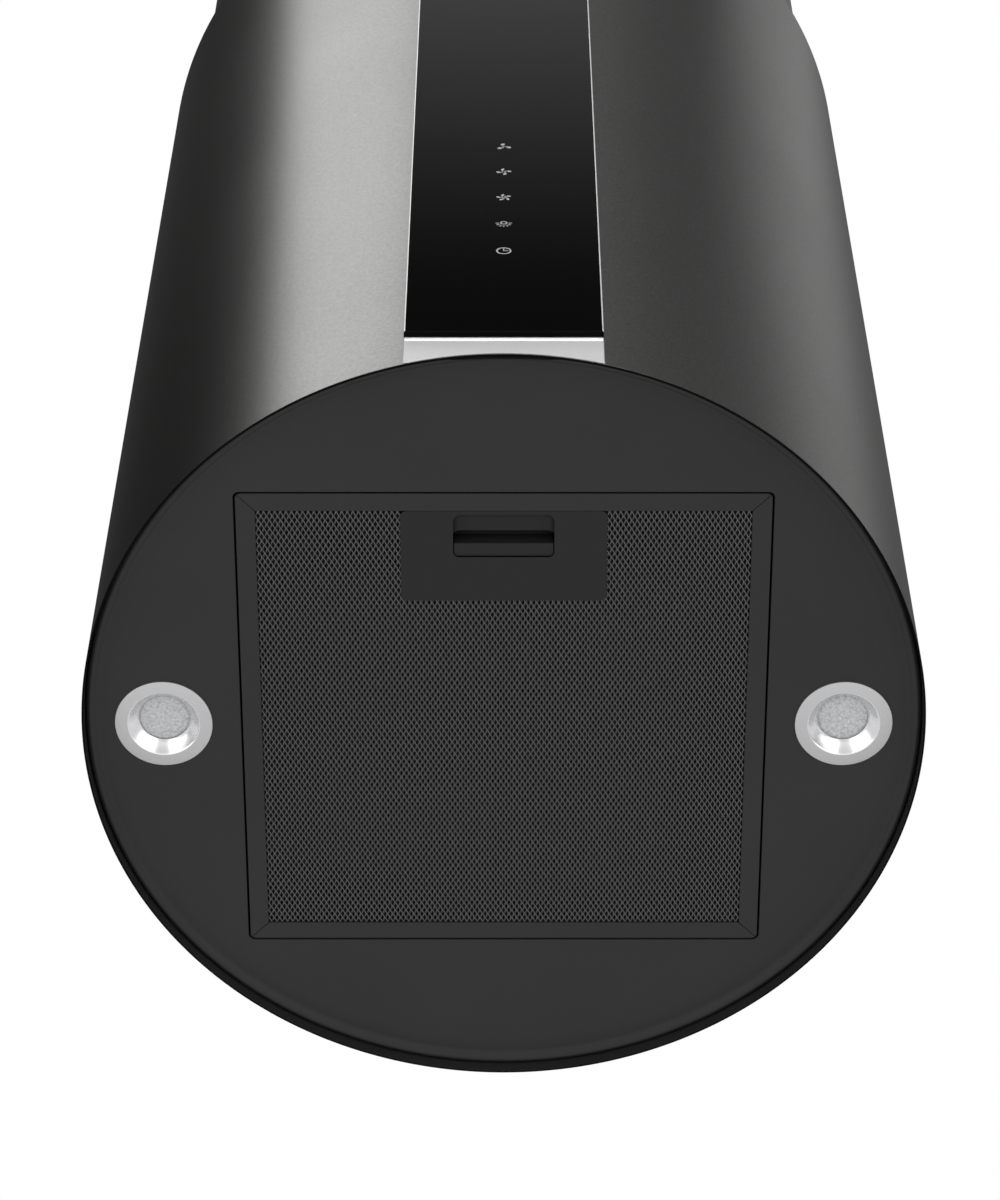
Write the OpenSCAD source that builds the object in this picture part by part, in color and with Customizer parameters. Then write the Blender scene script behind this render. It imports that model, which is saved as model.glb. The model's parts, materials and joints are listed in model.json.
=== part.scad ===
// Island range hood: a round steel body that hangs from the ceiling on telescopic posts,
// with a glass touch panel in a flat on its front, a square grease filter and two lamps underneath.
// Millimetres. +Z is up, the front faces -Y, and the origin is the centre of the ceiling plate's top face.

/* [Round body] */
// Outside diameter of the hood's round body
body_d = 400; // [385:1:480]
// Height of the hood's round body
body_h = 650; // [540:1:800]
// Sheet thickness of the round body
body_wall = 1; // [0.8:0.1:1.5]
// Height of the closed hoop under and over the front slot
hoop_h = 1.2; // [1:0.1:3]

/* [Chimney and posts] */
// Length of chimney that shows above the body
chimney_show = 200; // [150:1:300]
// Outside diameter of the chimney tube
chimney_d = 376; // [360:1:376]
// Sheet thickness of the chimney tube
chimney_wall = 1; // [0.8:0.1:1.5]
// How far the body can go up from where it hangs
travel_up = 80; // [40:1:100]
// How far the body can go down from where it hangs
travel_down = 120; // [60:1:140]
// Distance from the axis to the outer faces of the upper posts
post_at = 120; // [110:1:122]
// Leg width of the upper posts
post_leg = 30; // [25:1:34]
// Steel thickness of the posts
post_t = 2; // [1.5:0.1:3]
// Gap between an upper post and the lower post inside it
post_gap = 0.5; // [0.3:0.1:1]

/* [Ceiling plate] */
// Thickness of the ceiling plate
ceiling_t = 3; // [2:0.5:5]
// Diameter of the circle of ceiling bolts
ceiling_pcd = 300; // [260:1:320]
// Radius of each ceiling bolt hole
ceiling_hole_r = 4.5; // [3:0.5:6]
// Radius of the duct hole in the ceiling plate
ceiling_duct_r = 80; // [78:1:84]

/* [Front panel] */
// Width of the glass panel and of the metal trim below it
panel_w = 91.2; // [76:0.2:95]
// Glass thickness
glass_t = 4; // [3:0.5:4.5]
// How far the panel's flat lies behind the front of the body
flat_inset = 5; // [4.8:0.1:6]
// Height of the metal trim under the glass
trim_h = 25.3; // [20:0.1:35]
// Distance from the top of the glass to the top of the body
glass_top_gap = 12; // [8:1:40]
// Distance between the touch keys
key_pitch = 30.25; // [25:0.25:36]
// Height of the lowest touch key above the rim
key_low = 112; // [100:1:130]

/* [Base plate] */
// How far the base plate lies above the body's rim
plate_recess = 8; // [5:0.5:12]
// Sheet thickness of the base plate and of its flanges
plate_t = 1; // [0.8:0.1:1.5]
// Outside radius of the base plate's rounded edge
plate_round = 3; // [2:0.5:8]
// Height of the base plate's outer flange
plate_flange = 16; // [12:1:17]
// Slope of the lip that closes the gap behind the front hoop, from level
lip_slope = 63; // [55:1:68]
// Side of the square filter opening
opening_w = 250.5; // [200:0.5:252]
// Corner radius of the filter opening
opening_r = 3; // [2:0.5:6]
// Height of the flange around the filter opening
opening_flange = 14; // [12:1:20]

/* [Grease filter] */
// Gap around the filter in its opening
filter_gap = 0.85; // [0.5:0.05:1.5]
// Width of the filter frame's bars
bar_w = 9.4; // [7:0.1:14]
// Height of the filter frame
frame_h = 9; // [8:0.5:10]
// Sheet thickness of the filter frame
frame_t = 0.8; // [0.5:0.1:1]

/* [Filter handle] */
// Width of the handle plate
handle_w = 96; // [80:1:110]
// Depth of the handle plate
handle_d = 47.7; // [44:0.1:60]
// Width of the finger pocket
pocket_w = 47; // [40:1:60]
// Depth of the finger pocket
pocket_d = 22.3; // [20:0.1:26]
// Travel of the latch
latch_travel = 5; // [3:0.5:5]

/* [Lamps] */
// Distance from the axis to each lamp
lamp_at = 161.7; // [158:0.1:163]
// Outside radius of the lamp bezel
bezel_r = 23.25; // [22:0.25:25]
// Radius of the reflector's mouth
mouth_r = 17.15; // [15:0.05:18]
// Radius of the lamp lens that shows
lens_r = 12; // [10:0.1:13]
// Depth of the lens behind the bezel's face
lens_depth = 5.7; // [4:0.1:8]

/* [Blower] */
// Depth of the blower deck below the top of the body
deck_drop = 260; // [220:1:280]
// Sheet thickness of the blower deck
deck_t = 1.5; // [1:0.1:3]
// Outside radius of the impeller
impeller_r = 76; // [66:1:80]
// Width of the impeller
impeller_w = 108; // [90:1:116]
// Inside width of the scroll
scroll_w = 130; // [124:1:136]
// Radius of the scroll at its tongue
scroll_r0 = 86; // [84:1:90]
// Radius of the scroll at its outlet
scroll_r1 = 125; // [118:1:128]
// Width of the scroll's outlet duct
outlet_w = 145; // [140:1:146]
// Outside radius of the round outlet collar
collar_r = 75; // [62.5:0.5:75]
// Height of the outlet collar above the deck
collar_h = 64; // [50:1:80]
// Motor shaft radius
shaft_r = 4; // [3:0.5:6]
// Radius of the motor's casing
motor_r = 44; // [38:1:48]

/* [Hidden] */
$fn = 96;

// Levels, measured from the ceiling
body_r = body_d / 2;
drop = body_h + chimney_show;
tiny_gap = 0.1;
seat_gap = 0.4;
body_in_r = body_r - body_wall;
chimney_r = chimney_d / 2;
deck_z = body_h - deck_drop;
chimney_len = deck_drop + chimney_show - travel_up - 20;
post_len = chimney_len - ceiling_t;
lower_post_rise = 50;
bolt_z = body_h - 10;
bolt_r = 2.5;

// The front flat
flat_y = -(body_r - flat_inset);
slot_y = flat_y + tiny_gap;
glass_top = body_h - glass_top_gap;
trim_t = 0.4;
trim_back_w = 66;
web_t = 1.5;
carrier_d = 4.6;
carrier_web_w = 2 * sqrt(body_in_r * body_in_r - slot_y * slot_y) - 1;
carrier_w = 2 * sqrt(pow(body_in_r - seat_gap, 2) - pow(slot_y + carrier_d - web_t, 2));
board_t = 1.6;
board_w = 62;
spring_h = 2.4;

// The filter, in its opening
filter_w = opening_w - 2 * filter_gap;
frame_in = filter_w / 2 - bar_w;
mesh_w = filter_w - 2 * frame_t - 0.2;
mesh_z = plate_recess + frame_t;
sheet_t = 0.8;
mesh_top = plate_recess + frame_h - frame_t;
handle_y0 = -frame_in + tiny_gap;
pocket_y0 = handle_y0 + 2.1;
pocket_y1 = pocket_y0 + pocket_d;
strip_w = 7;
handle_skin = 1.2;
handle_z = plate_recess + 0.2;
handle_top = plate_recess + 15;
cup_wall = 1.6;
scoop_d = 10;
scoop_h = 4.2;
scoop_r = (scoop_d * scoop_d + scoop_h * scoop_h) / (2 * scoop_h);
tab_at = 80;
tab_w = 20;
tongue_w = 16;
tongue_z = plate_recess + 5.6;
tongue_t = 2.2;
spring_len = latch_travel + 4;

// The blower, hung under the deck
blower_z = deck_z - 165;
tongue_u = outlet_w - scroll_r1;
blower_y = scroll_r1 - outlet_w / 2;
tongue_a = acos(tongue_u / scroll_r0);
spiral_steps = 36;
run_fit = 0.05;
pivot_r = 1.5;
flap_z = deck_z + deck_t + collar_h - 20;
flap_y = 5;
flap_t = 1.5;
barrel_r = 3;
collar_wall = 1.5;
flange_r = collar_r + 13;

// The control box
box_x = 86;
box_d = 36;
box_w = 110;
box_h = 124;

// Places a piece that is measured from the body's rim
module at_rim() {
    translate([0, 0, -drop]) children();
}

// Turns a flat outline into a plate whose thickness runs along X, from x
module along_x(x, length) {
    translate([x, 0, 0]) rotate([90, 0, 90]) linear_extrude(length) children();
}

module ring(outer, inner, height) {
    difference() {
        cylinder(r = outer, h = height);
        translate([0, 0, -1]) cylinder(r = inner, h = height + 2);
    }
}

module round_square(side, r) {
    half = side / 2 - r;
    square([side, side - 2 * r], center = true);
    square([side - 2 * r, side], center = true);
    for (x = [-half, half], y = [-half, half]) translate([x, y]) circle(r = r);
}

// A pan-head screw whose head is on top, with its seat at z = 0
module screw(r, length) {
    cylinder(r = 1.9 * r, h = 1.2 * r);
    translate([0, 0, -length]) cylinder(r = r, h = length + 0.01);
}

// ---- Ceiling frame ----

module ceiling_plate() color("silver") translate([0, 0, -ceiling_t]) {
    difference() {
        cylinder(r = chimney_r - chimney_wall - tiny_gap, h = ceiling_t);
        translate([0, 0, -1]) cylinder(r = ceiling_duct_r, h = ceiling_t + 2);
        for (a = [0:90:270]) rotate(a) translate([ceiling_pcd / 2, 0, -1])
            cylinder(r = ceiling_hole_r, h = ceiling_t + 2);
        translate([gland_x(), gland_y(), -1]) cylinder(r = 10, h = ceiling_t + 2);
        for (x = [-1, 1], y = [-1, 1]) translate([x * foot_at(), y * foot_at(), -1])
            cylinder(r = bolt_r + 0.1, h = ceiling_t + 2);
    }
    difference() {
        translate([0, 0, -25])
            ring(chimney_r - chimney_wall - tiny_gap, chimney_r - chimney_wall - 2, 25.01);
        translate([0, 0, ceiling_t]) chimney_screw_places()
            translate([0, 0, -6]) cylinder(r = 2.1, h = 12);
    }
}

// Centre of an upper post's foot screw, along X and Y
function foot_at() = post_at - post_leg / 2 - 1;

module chimney_screw_places() {
    for (a = [45:90:315]) rotate(a) translate([chimney_r, 0, -12]) rotate([0, 90, 0]) children();
}

module upper_post(side_x, side_y) color("gainsboro") in_corner(side_x, side_y) difference() {
    union() {
        translate([post_at - post_t, post_at - post_leg, -ceiling_t - post_len])
            cube([post_t, post_leg, post_len]);
        translate([post_at - post_leg, post_at - post_t, -ceiling_t - post_len])
            cube([post_leg, post_t, post_len]);
        translate([post_at - post_leg, post_at - post_leg, -ceiling_t - post_t])
            cube([post_leg, post_leg, post_t]);
    }
    slot_top = -drop + bolt_z + travel_up;
    slot_low = -drop + bolt_z - travel_down;
    for (z = [slot_low, slot_top]) translate([post_at - post_t - 1, bolt_y(), z])
        rotate([0, 90, 0]) cylinder(r = bolt_r + 0.4, h = post_t + 2);
    translate([post_at - post_t - 1, bolt_y() - bolt_r - 0.4, slot_low])
        cube([post_t + 2, 2 * bolt_r + 0.8, slot_top - slot_low]);
    translate([foot_at(), foot_at(), -ceiling_t - post_t - 1]) cylinder(r = bolt_r + 0.1, h = post_t + 2);
}

// Distance of the height bolts from the XZ plane
function bolt_y() = post_at - post_leg / 2 - 1;

// Puts a corner piece, made in the +X +Y corner, in one of the four corners
module in_corner(side_x, side_y) {
    mirror([side_x < 0 ? 1 : 0, 0, 0]) mirror([0, side_y < 0 ? 1 : 0, 0]) children();
}

module chimney_tube() color("dimgray") translate([0, 0, -chimney_len]) difference() {
    ring(chimney_r, chimney_r - chimney_wall, chimney_len - 1);
    translate([0, 0, chimney_len]) chimney_screw_places() translate([0, 0, -6])
        cylinder(r = 2.1, h = 12);
}

module ceiling_screws() color("silver")
    for (x = [-1, 1], y = [-1, 1]) translate([x * foot_at(), y * foot_at(), -ceiling_t - post_t])
        mirror([0, 0, 1]) screw(bolt_r, ceiling_t + post_t - 0.5);

module chimney_screws() color("silver") chimney_screw_places() screw(2, 7);

// ---- Round body ----

module hood_tube() color("#3b3b3b") at_rim() difference() {
    ring(body_r, body_in_r, body_h);
    translate([-panel_w / 2, -body_r - 1, hoop_h])
        cube([panel_w, body_r + 1 + slot_y, glass_top - hoop_h]);
}

// Everything in front of the panel's flat, and a little behind it
module front_cut(behind) {
    translate([-body_r, -body_r - 1, 0]) cube([body_d, body_r + 1 + slot_y + behind, body_h]);
}

// A leaning round bar, as wide as the body, whose front edge is in_front of the axis at the hoop's top
module leaning_bar(in_front) {
    bar_r = (body_r - 0.5) / sin(lip_slope);
    translate([0, bar_r / sin(lip_slope) - in_front, hoop_h]) rotate([lip_slope - 90, 0, 0])
        translate([0, 0, -body_d]) cylinder(r = bar_r, h = 2 * body_d);
}

// The lip that slopes from the base plate's straight front edge down to the round hoop
module front_lip() {
    low = hoop_h + tiny_gap;
    high = plate_recess + plate_t;
    difference() {
        union() {
            intersection() {
                translate([-panel_w / 2 + 1.5, -body_r, low])
                    cube([panel_w - 3, body_r + slot_y - 0.05, high - low]);
                leaning_bar(body_r - 0.3);
            }
            intersection() {
                translate([-panel_w / 2 + 1.5, slot_y - tiny_gap, low]) cube([panel_w - 3, 1, high - low]);
                cylinder(r = body_in_r - tiny_gap, h = high);
            }
        }
        leaning_bar(body_r - 1.3);
    }
}

// Outline of the base plate's rounded edge and outer flange, spun about the axis
module plate_profile() {
    r = body_in_r - seat_gap;
    translate([0, plate_recess]) square([r - plate_round, plate_t]);
    translate([r - plate_t, plate_recess + plate_round]) square([plate_t, plate_flange - plate_round]);
    translate([r - plate_round, plate_recess + plate_round]) intersection() {
        difference() {
            circle(r = plate_round);
            circle(r = plate_round - plate_t);
        }
        translate([0, -plate_round]) square(plate_round);
    }
}

module base_plate() color("#363636") at_rim() {
    front_lip();
    difference() {
        rotate_extrude() plate_profile();
        translate([0, 0, plate_recess - 1]) linear_extrude(plate_t + 2) round_square(opening_w, opening_r);
        front_cut(0.5);
        lamp_places() translate([0, 0, plate_recess - 1]) cylinder(r = housing_r() + 0.4, h = plate_t + 2);
    }
    difference() {
        translate([0, 0, plate_recess + plate_t - 0.01]) linear_extrude(opening_flange - plate_t)
            difference() {
                round_square(opening_w + 2 * plate_t, opening_r + plate_t);
                round_square(opening_w, opening_r);
            }
        translate([-tongue_w / 2 - 1, -opening_w / 2 - plate_t - 1, tongue_z - 0.8])
            cube([tongue_w + 2, plate_t + 2, tongue_t + 1.6]);
        for (x = [-tab_at, tab_at]) translate([x - tab_w / 2 - 1, opening_w / 2 - 1, plate_recess + 4])
            cube([tab_w + 2, plate_t + 2, 5]);
    }
}

// ---- Front panel ----

module control_glass() color("#111111") at_rim()
    translate([-panel_w / 2, flat_y - glass_t, trim_h]) cube([panel_w, glass_t, glass_top - trim_h]);

module panel_trim() color("silver") at_rim() {
    low = hoop_h + tiny_gap;
    difference() {
        translate([-panel_w / 2, flat_y - trim_t, low]) cube([panel_w, trim_t, trim_h - low - tiny_gap]);
        leaning_bar(body_r - 0.2);
    }
    back_low = plate_recess + plate_round + 0.2;
    translate([-trim_back_w / 2, flat_y - 0.01, back_low])
        cube([trim_back_w, 2.5, trim_h - back_low - tiny_gap]);
}

module panel_carrier() color("#222222") at_rim() {
    y0 = flat_y + tiny_gap;
    z0 = trim_h + 0.5;
    h = glass_top - 3 - z0;
    difference() {
        translate([-carrier_web_w / 2, y0, z0]) cube([carrier_web_w, web_t, h]);
        translate([-12, y0 - 1, key_low - 20]) cube([24, web_t + 2, 4 * key_pitch + 40]);
    }
    for (s = [-1, 1]) {
        translate([s * (carrier_web_w / 2 - web_t / 2) - web_t / 2, y0, z0]) cube([web_t, carrier_d, h]);
        translate([s * (carrier_web_w + carrier_w) / 4 - (carrier_w - carrier_web_w) / 4 - s * 0.01,
            y0 + carrier_d - web_t, z0]) cube([(carrier_w - carrier_web_w) / 2, web_t, h]);
    }
}

module key_places() {
    for (i = [0:4]) translate([0, flat_y, key_low + i * key_pitch]) rotate([-90, 0, 0]) children();
}

module touch_board() color("darkgreen") at_rim() {
    y0 = flat_y + tiny_gap + spring_h;
    translate([-board_w / 2, y0, key_low - 26]) cube([board_w, board_t, 4 * key_pitch + 52]);
    translate([-8, y0 + board_t - 0.01, key_low - 14]) cube([16, 3, 10]);
    translate([14, y0 + board_t - 0.01, key_low + 10]) cube([10, 1.4, 14]);
}

module touch_springs() color("peru") at_rim()
    key_places() translate([0, 0, tiny_gap]) ring(5, 4.2, spring_h - tiny_gap);

module carrier_nuts() color("silver") at_rim()
    for (s = [-1, 1], z = [trim_h + 40, deck_z - 40, deck_z + 60, glass_top - 40])
        translate([s * (carrier_w / 2 - 6), flat_y + tiny_gap + carrier_d, z])
            rotate([-90, 0, 0]) ring(4.5, 2, 3.5);

// ---- Lamps ----

function housing_r() = bezel_r - 2.6;

module lamp_places() {
    for (s = [-1, 1]) translate([s * lamp_at, 0, 0]) children();
}

module lamp_bezel(side) color("#c8c8c8") at_rim() translate([side * lamp_at, 0, plate_recess - 1])
    rotate_extrude() polygon([[mouth_r, 0], [bezel_r, 0], [bezel_r, 1], [housing_r(), 1], [housing_r(), 14],
        [lens_r + 0.6, 14], [lens_r + 0.6, lens_depth + 0.4], [lens_r, lens_depth]]);

module lamp_lens(side) color([0.85, 0.87, 0.9, 0.6]) at_rim()
    translate([side * lamp_at, 0, plate_recess - 1 + lens_depth + 0.4]) cylinder(r = lens_r + 0.5, h = 2.4);

module lamp_led(side) color("white") at_rim()
    translate([side * lamp_at, 0, plate_recess - 1 + lens_depth + 5]) {
        cylinder(r = lens_r + 0.5, h = 1.6);
        translate([0, 0, -1.2]) cylinder(r = 5, h = 1.21);
    }

module lamp_housing(side) color("dimgray") at_rim()
    translate([side * lamp_at, 0, plate_recess + 13]) difference() {
        union() {
            cylinder(r = housing_r() - 5, h = 30);
            for (z = [0.1:6:26]) translate([0, 0, z]) cylinder(r = housing_r(), h = 2.4);
        }
        translate([0, 0, 22]) cylinder(r = 5, h = 10);
    }

module lamp_clips(side) color("silver") at_rim() translate([side * lamp_at, 0, 0])
    for (s = [-1, 1]) rotate([90, 0, 90 + s * 90]) translate([0, 0, -4]) linear_extrude(8)
        polygon([[housing_r() + 0.1, plate_recess + 11], [housing_r() + 0.1, plate_recess + 4],
            [housing_r() + 5, plate_recess + plate_t + 0.2],
            [housing_r() + 5.8, plate_recess + plate_t + 0.8],
            [housing_r() + 0.8, plate_recess + 4.4], [housing_r() + 0.8, plate_recess + 11]]);

// ---- Blower deck and lower posts ----

module blower_deck() color("gainsboro") at_rim() difference() {
    union() {
        translate([0, 0, deck_z]) cylinder(r = body_in_r - seat_gap, h = deck_t);
        translate([0, 0, deck_z - 14]) ring(body_in_r - seat_gap, body_in_r - seat_gap - deck_t, 14.01);
    }
    front_cut(carrier_d + 0.6);
    translate([0, 0, deck_z - 1]) cylinder(r = collar_r - collar_wall, h = deck_t + 2);
    translate([gland_x(), gland_y(), deck_z - 1]) cylinder(r = 8.1, h = deck_t + 2);
    deck_screw_places() translate([0, 0, -deck_t - 1]) cylinder(r = bolt_r + 0.1, h = deck_t + 2);
}

// Where the mains cable comes through the deck
function gland_x() = 100;
function gland_y() = 72;

function lower_at() = post_at - post_t - post_gap;

module deck_screw_places() {
    for (x = [-1, 1], y = [-1, 1]) translate([x * foot_at(), y * foot_at(), deck_z + deck_t]) children();
    for (a = [30:60:330]) rotate(a) translate([collar_r + 7, 0, deck_z + deck_t]) children();
}

module lower_post(side_x, side_y) color("silver") at_rim() in_corner(side_x, side_y) {
    z0 = deck_z + deck_t;
    h = body_h + lower_post_rise - z0;
    leg = post_leg - post_t - post_gap;
    difference() {
        union() {
            translate([lower_at() - post_t, lower_at() - leg, z0]) cube([post_t, leg, h]);
            translate([lower_at() - leg, lower_at() - post_t, z0]) cube([leg, post_t, h]);
            translate([lower_at() - leg, lower_at() - leg, z0]) cube([leg, leg, post_t]);
        }
        translate([lower_at() - post_t - 1, bolt_y(), bolt_z]) rotate([0, 90, 0])
            cylinder(r = bolt_r + 0.1, h = post_t + 2);
        translate([foot_at(), foot_at(), z0 - 1]) cylinder(r = bolt_r + 0.1, h = post_t + 2);
    }
}

module height_bolts() color("silver") at_rim() for (x = [-1, 1], y = [-1, 1])
    in_corner(x, y) translate([post_at + 0.5, bolt_y(), bolt_z]) rotate([0, 90, 0]) {
        screw(bolt_r, 12);
        translate([0, 0, -post_t * 2 - post_gap - 5]) ring(4.6, bolt_r, 4);
    }

module deck_screws() color("silver") at_rim() {
    for (x = [-1, 1], y = [-1, 1])
        translate([x * foot_at(), y * foot_at(), deck_z + deck_t + post_t]) screw(bolt_r, 8);
    for (a = [30:60:330]) rotate(a) translate([collar_r + 7, 0, deck_z + deck_t + 2]) screw(bolt_r, 8);
}

// ---- Blower ----

// Points along the scroll's wall, grown outwards by grow, from its tongue round to its outlet
function spiral(grow) = [for (i = [0:spiral_steps])
    let (a = tongue_a - i / spiral_steps * (tongue_a + 180),
        r = scroll_r0 + (scroll_r1 - scroll_r0) * i / spiral_steps + grow) [r * cos(a), r * sin(a)]];

module scroll_outline(grow) {
    top = deck_z - blower_z - tiny_gap;
    polygon(concat(spiral(grow), [[-scroll_r1 - grow, top], [tongue_u + grow, top]]));
}

module at_blower() {
    at_rim() translate([0, blower_y, blower_z]) children();
}

module scroll_wrapper() color("lightgray") at_blower() along_x(-scroll_w / 2 + 0.05, scroll_w - 0.1)
    difference() {
        scroll_outline(1);
        polygon(concat(spiral(0), [[-scroll_r1, 300], [tongue_u, 300]]));
    }

module scroll_side(side) color("lightgray") at_blower() difference() {
    along_x(side > 0 ? scroll_w / 2 : -scroll_w / 2 - 1, 1) scroll_outline(1);
    along_x(-scroll_w, 2 * scroll_w) circle(r = impeller_r - 13);
}

module inlet_ring(side) color("gray") at_blower() mirror([side < 0 ? 1 : 0, 0, 0]) {
    translate([scroll_w / 2 + 1, 0, 0]) rotate([0, 90, 0]) ring(impeller_r - 1, impeller_r - 14.5, 1.2);
    translate([impeller_w / 2 + 3, 0, 0]) rotate([0, 90, 0])
        ring(impeller_r - 13.2, impeller_r - 14.5, scroll_w / 2 - impeller_w / 2 - 1.9);
}

module impeller() color("#8a9096") at_blower() difference() {
    union() {
        for (i = [0:35]) along_x(-impeller_w / 2, impeller_w) rotate(i * 10)
            translate([impeller_r - 13.5, 0]) rotate(-32) square([14, 1]);
        for (x = [-impeller_w / 2, impeller_w / 2 - 2]) translate([x, 0, 0]) rotate([0, 90, 0])
            ring(impeller_r, impeller_r - 13, 2);
        translate([-1, 0, 0]) rotate([0, 90, 0]) cylinder(r = impeller_r, h = 2);
        translate([-10, 0, 0]) rotate([0, 90, 0]) cylinder(r = 12, h = 22);
    }
    translate([-20, 0, 0]) rotate([0, 90, 0]) cylinder(r = shaft_r + 0.02, h = 40);
}

module motor_shaft() color("silver") at_blower() {
    translate([-scroll_w / 2, 0, 0]) rotate([0, 90, 0]) cylinder(r = shaft_r, h = scroll_w / 2 + 20);
    translate([12.2, 0, 0]) rotate([0, 90, 0]) ring(8, shaft_r + 0.02, 5);
}

module motor_housing() color("#555555") at_blower() difference() {
    x0 = -scroll_w / 2 - 6;
    union() {
        translate([x0, 0, 0]) rotate([0, 90, 0]) cylinder(r = motor_r, h = -x0 - 14);
        translate([-14.01, 0, 0]) rotate([0, 90, 0]) cylinder(r = 10, h = 3);
        for (x = [x0 + 8:12:-26]) translate([x, 0, 0]) rotate([0, 90, 0])
            cylinder(r = motor_r + 1.5, h = 3);
    }
    translate([-scroll_w / 2 - 1, 0, 0]) rotate([0, 90, 0]) cylinder(r = shaft_r + run_fit, h = scroll_w);
}

module arm_places() {
    for (a = [90, 210, 330]) rotate([a, 0, 0]) children();
}

module motor_bracket() color("silver") at_blower() translate([-scroll_w / 2 - 8, 0, 0]) {
    rotate([0, 90, 0]) cylinder(r = 28, h = 1.9);
    arm_places() translate([0, 0, -8]) cube([1.9, impeller_r - 7, 16]);
}

module motor_bushes() color("#1c1c1c") at_blower() translate([-scroll_w / 2 - 6, 0, 0])
    arm_places() translate([0, impeller_r - 13, 0]) rotate([0, 90, 0]) cylinder(r = 5, h = 3.7);

module run_capacitor() color("#e8e8e8") at_rim() translate([-118, -40, deck_z - 70]) {
    cylinder(r = 15, h = 62);
    translate([0, 0, 61.9]) cylinder(r = 6, h = 8);
}

module outlet_collar() color("#2a2a2a") at_rim() translate([0, 0, deck_z + deck_t]) {
    difference() {
        union() {
            ring(flange_r, collar_r - collar_wall, 2);
            ring(collar_r, collar_r - collar_wall, collar_h);
            translate([0, 0, flap_z - deck_z - deck_t - 4]) ring(collar_r - 1, collar_r - 4.5, 2.9);
            translate([-collar_r + 1, -1, flap_z - deck_z - deck_t - 8]) cube([2 * collar_r - 2, 2, 14]);
        }
        for (y = [-flap_y, flap_y]) translate([-collar_r - 1, y, flap_z - deck_z - deck_t])
            rotate([0, 90, 0]) cylinder(r = pivot_r + 0.02, h = 2 * collar_r + 2);
        for (a = [30:60:330]) rotate(a) translate([collar_r + 7, 0, -1]) cylinder(r = bolt_r + 0.1, h = 4);
    }
}

module flap_pins() color("silver") at_rim() for (y = [-flap_y, flap_y])
    translate([-collar_r + 0.5, y, flap_z]) rotate([0, 90, 0]) cylinder(r = pivot_r, h = 2 * collar_r - 1);

module flap(side) color("#3f3f3f") at_rim() translate([0, side * flap_y, flap_z]) difference() {
    union() {
        intersection() {
            translate([0, -side * flap_y, -flap_t / 2])
                cylinder(r = collar_r - collar_wall - 2.5, h = flap_t);
            translate([-collar_r, side > 0 ? 0 : -collar_r, -flap_t])
                cube([2 * collar_r, collar_r, 2 * flap_t]);
        }
        translate([-collar_r + 9, 0, 0]) rotate([0, 90, 0]) cylinder(r = barrel_r, h = 2 * collar_r - 18);
    }
    translate([-collar_r, 0, 0]) rotate([0, 90, 0]) cylinder(r = pivot_r + run_fit, h = 2 * collar_r);
}

// ---- Electrics ----

module control_box() color("#e0e0dc") at_rim() difference() {
    translate([box_x, -box_w / 2, deck_z - box_h - 0.2]) cube([box_d, box_w, box_h]);
    translate([box_x + 2, -box_w / 2 + 2, deck_z - box_h + 1.8]) cube([box_d, box_w - 4, box_h - 4]);
}

module control_box_lid() color("#d0d0cc") at_rim()
    translate([box_x + box_d + 0.1, -box_w / 2, deck_z - box_h - 0.2]) {
        cube([2, box_w, box_h]);
        for (y = [8, box_w - 8], z = [8, box_h - 8]) translate([2, y, z]) rotate([0, 90, 0])
            cylinder(r = 3.5, h = 1.6);
    }

module power_board() color("darkgreen") at_rim()
    translate([box_x + 6, -box_w / 2 + 6, deck_z - box_h + 6]) {
        cube([1.6, box_w - 12, box_h - 14]);
        translate([1.59, 8, 12]) cube([20, 34, 28]);
        translate([1.59, 54, 14]) cube([15, 28, 12]);
        translate([1.59, 54, 34]) cube([15, 28, 12]);
        translate([1.59, 10, 80]) cube([12, 60, 14]);
        for (y = [12, 46, 80]) translate([1.59, y + 6, 62]) rotate([0, 90, 0]) cylinder(r = 6, h = 16);
    }

module cable_gland() color("#2c2c2c") at_rim() translate([gland_x(), gland_y(), deck_z]) difference() {
    union() {
        translate([0, 0, -7]) cylinder(r = 8, h = 24);
        translate([0, 0, deck_t]) cylinder(r = 12, h = 6, $fn = 6);
        translate([0, 0, deck_t + 7]) cylinder(r = 10.5, h = 8);
        translate([0, 0, -6]) cylinder(r = 11.5, h = 6, $fn = 6);
    }
    translate([0, 0, -20]) cylinder(r = 4.2, h = 60);
}

// ---- Grease filter ----

// One bar of the frame: a folded channel, open inwards, with its ends cut at 45 degrees
module frame_bar() {
    half = filter_w / 2;
    difference() {
        translate([-half, -half, plate_recess]) cube([filter_w, bar_w, frame_h]);
        translate([-half - 1, -half + frame_t, plate_recess + frame_t])
            cube([filter_w + 2, bar_w, frame_h - 2 * frame_t]);
        for (s = [-1, 1]) translate([s * half, -half, plate_recess - 1]) rotate(s * 45)
            translate([s > 0 ? -0.06 : -bar_w * 2, -bar_w * 2, 0])
                cube([bar_w * 2 + 0.06, bar_w * 5, frame_h + 2]);
    }
}

module filter_frame() color("#2e2e2e") at_rim() difference() {
    intersection() {
        for (a = [0:90:270]) rotate(a) frame_bar();
        linear_extrude(body_h) round_square(filter_w, opening_r - 0.5);
    }
    translate([-tongue_w / 2 - 0.5, -filter_w / 2 - 1, tongue_z - 0.4])
        cube([tongue_w + 1, frame_t + 2, tongue_t + 0.8]);
}

// One layer of the filter, with a hole for the handle whose edge is inset from the handle plate's own
module mesh_layer(z, thickness, inset) at_rim() difference() {
    translate([-mesh_w / 2, -mesh_w / 2, z]) cube([mesh_w, mesh_w, thickness]);
    translate([-handle_w / 2 + inset, handle_y0 - 2, 0])
        cube([handle_w - 2 * inset, handle_d + 2 - inset, body_h]);
    translate([-tongue_w, -mesh_w, 0]) cube([2 * tongue_w, mesh_w - frame_in + 2, body_h]);
}

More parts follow.
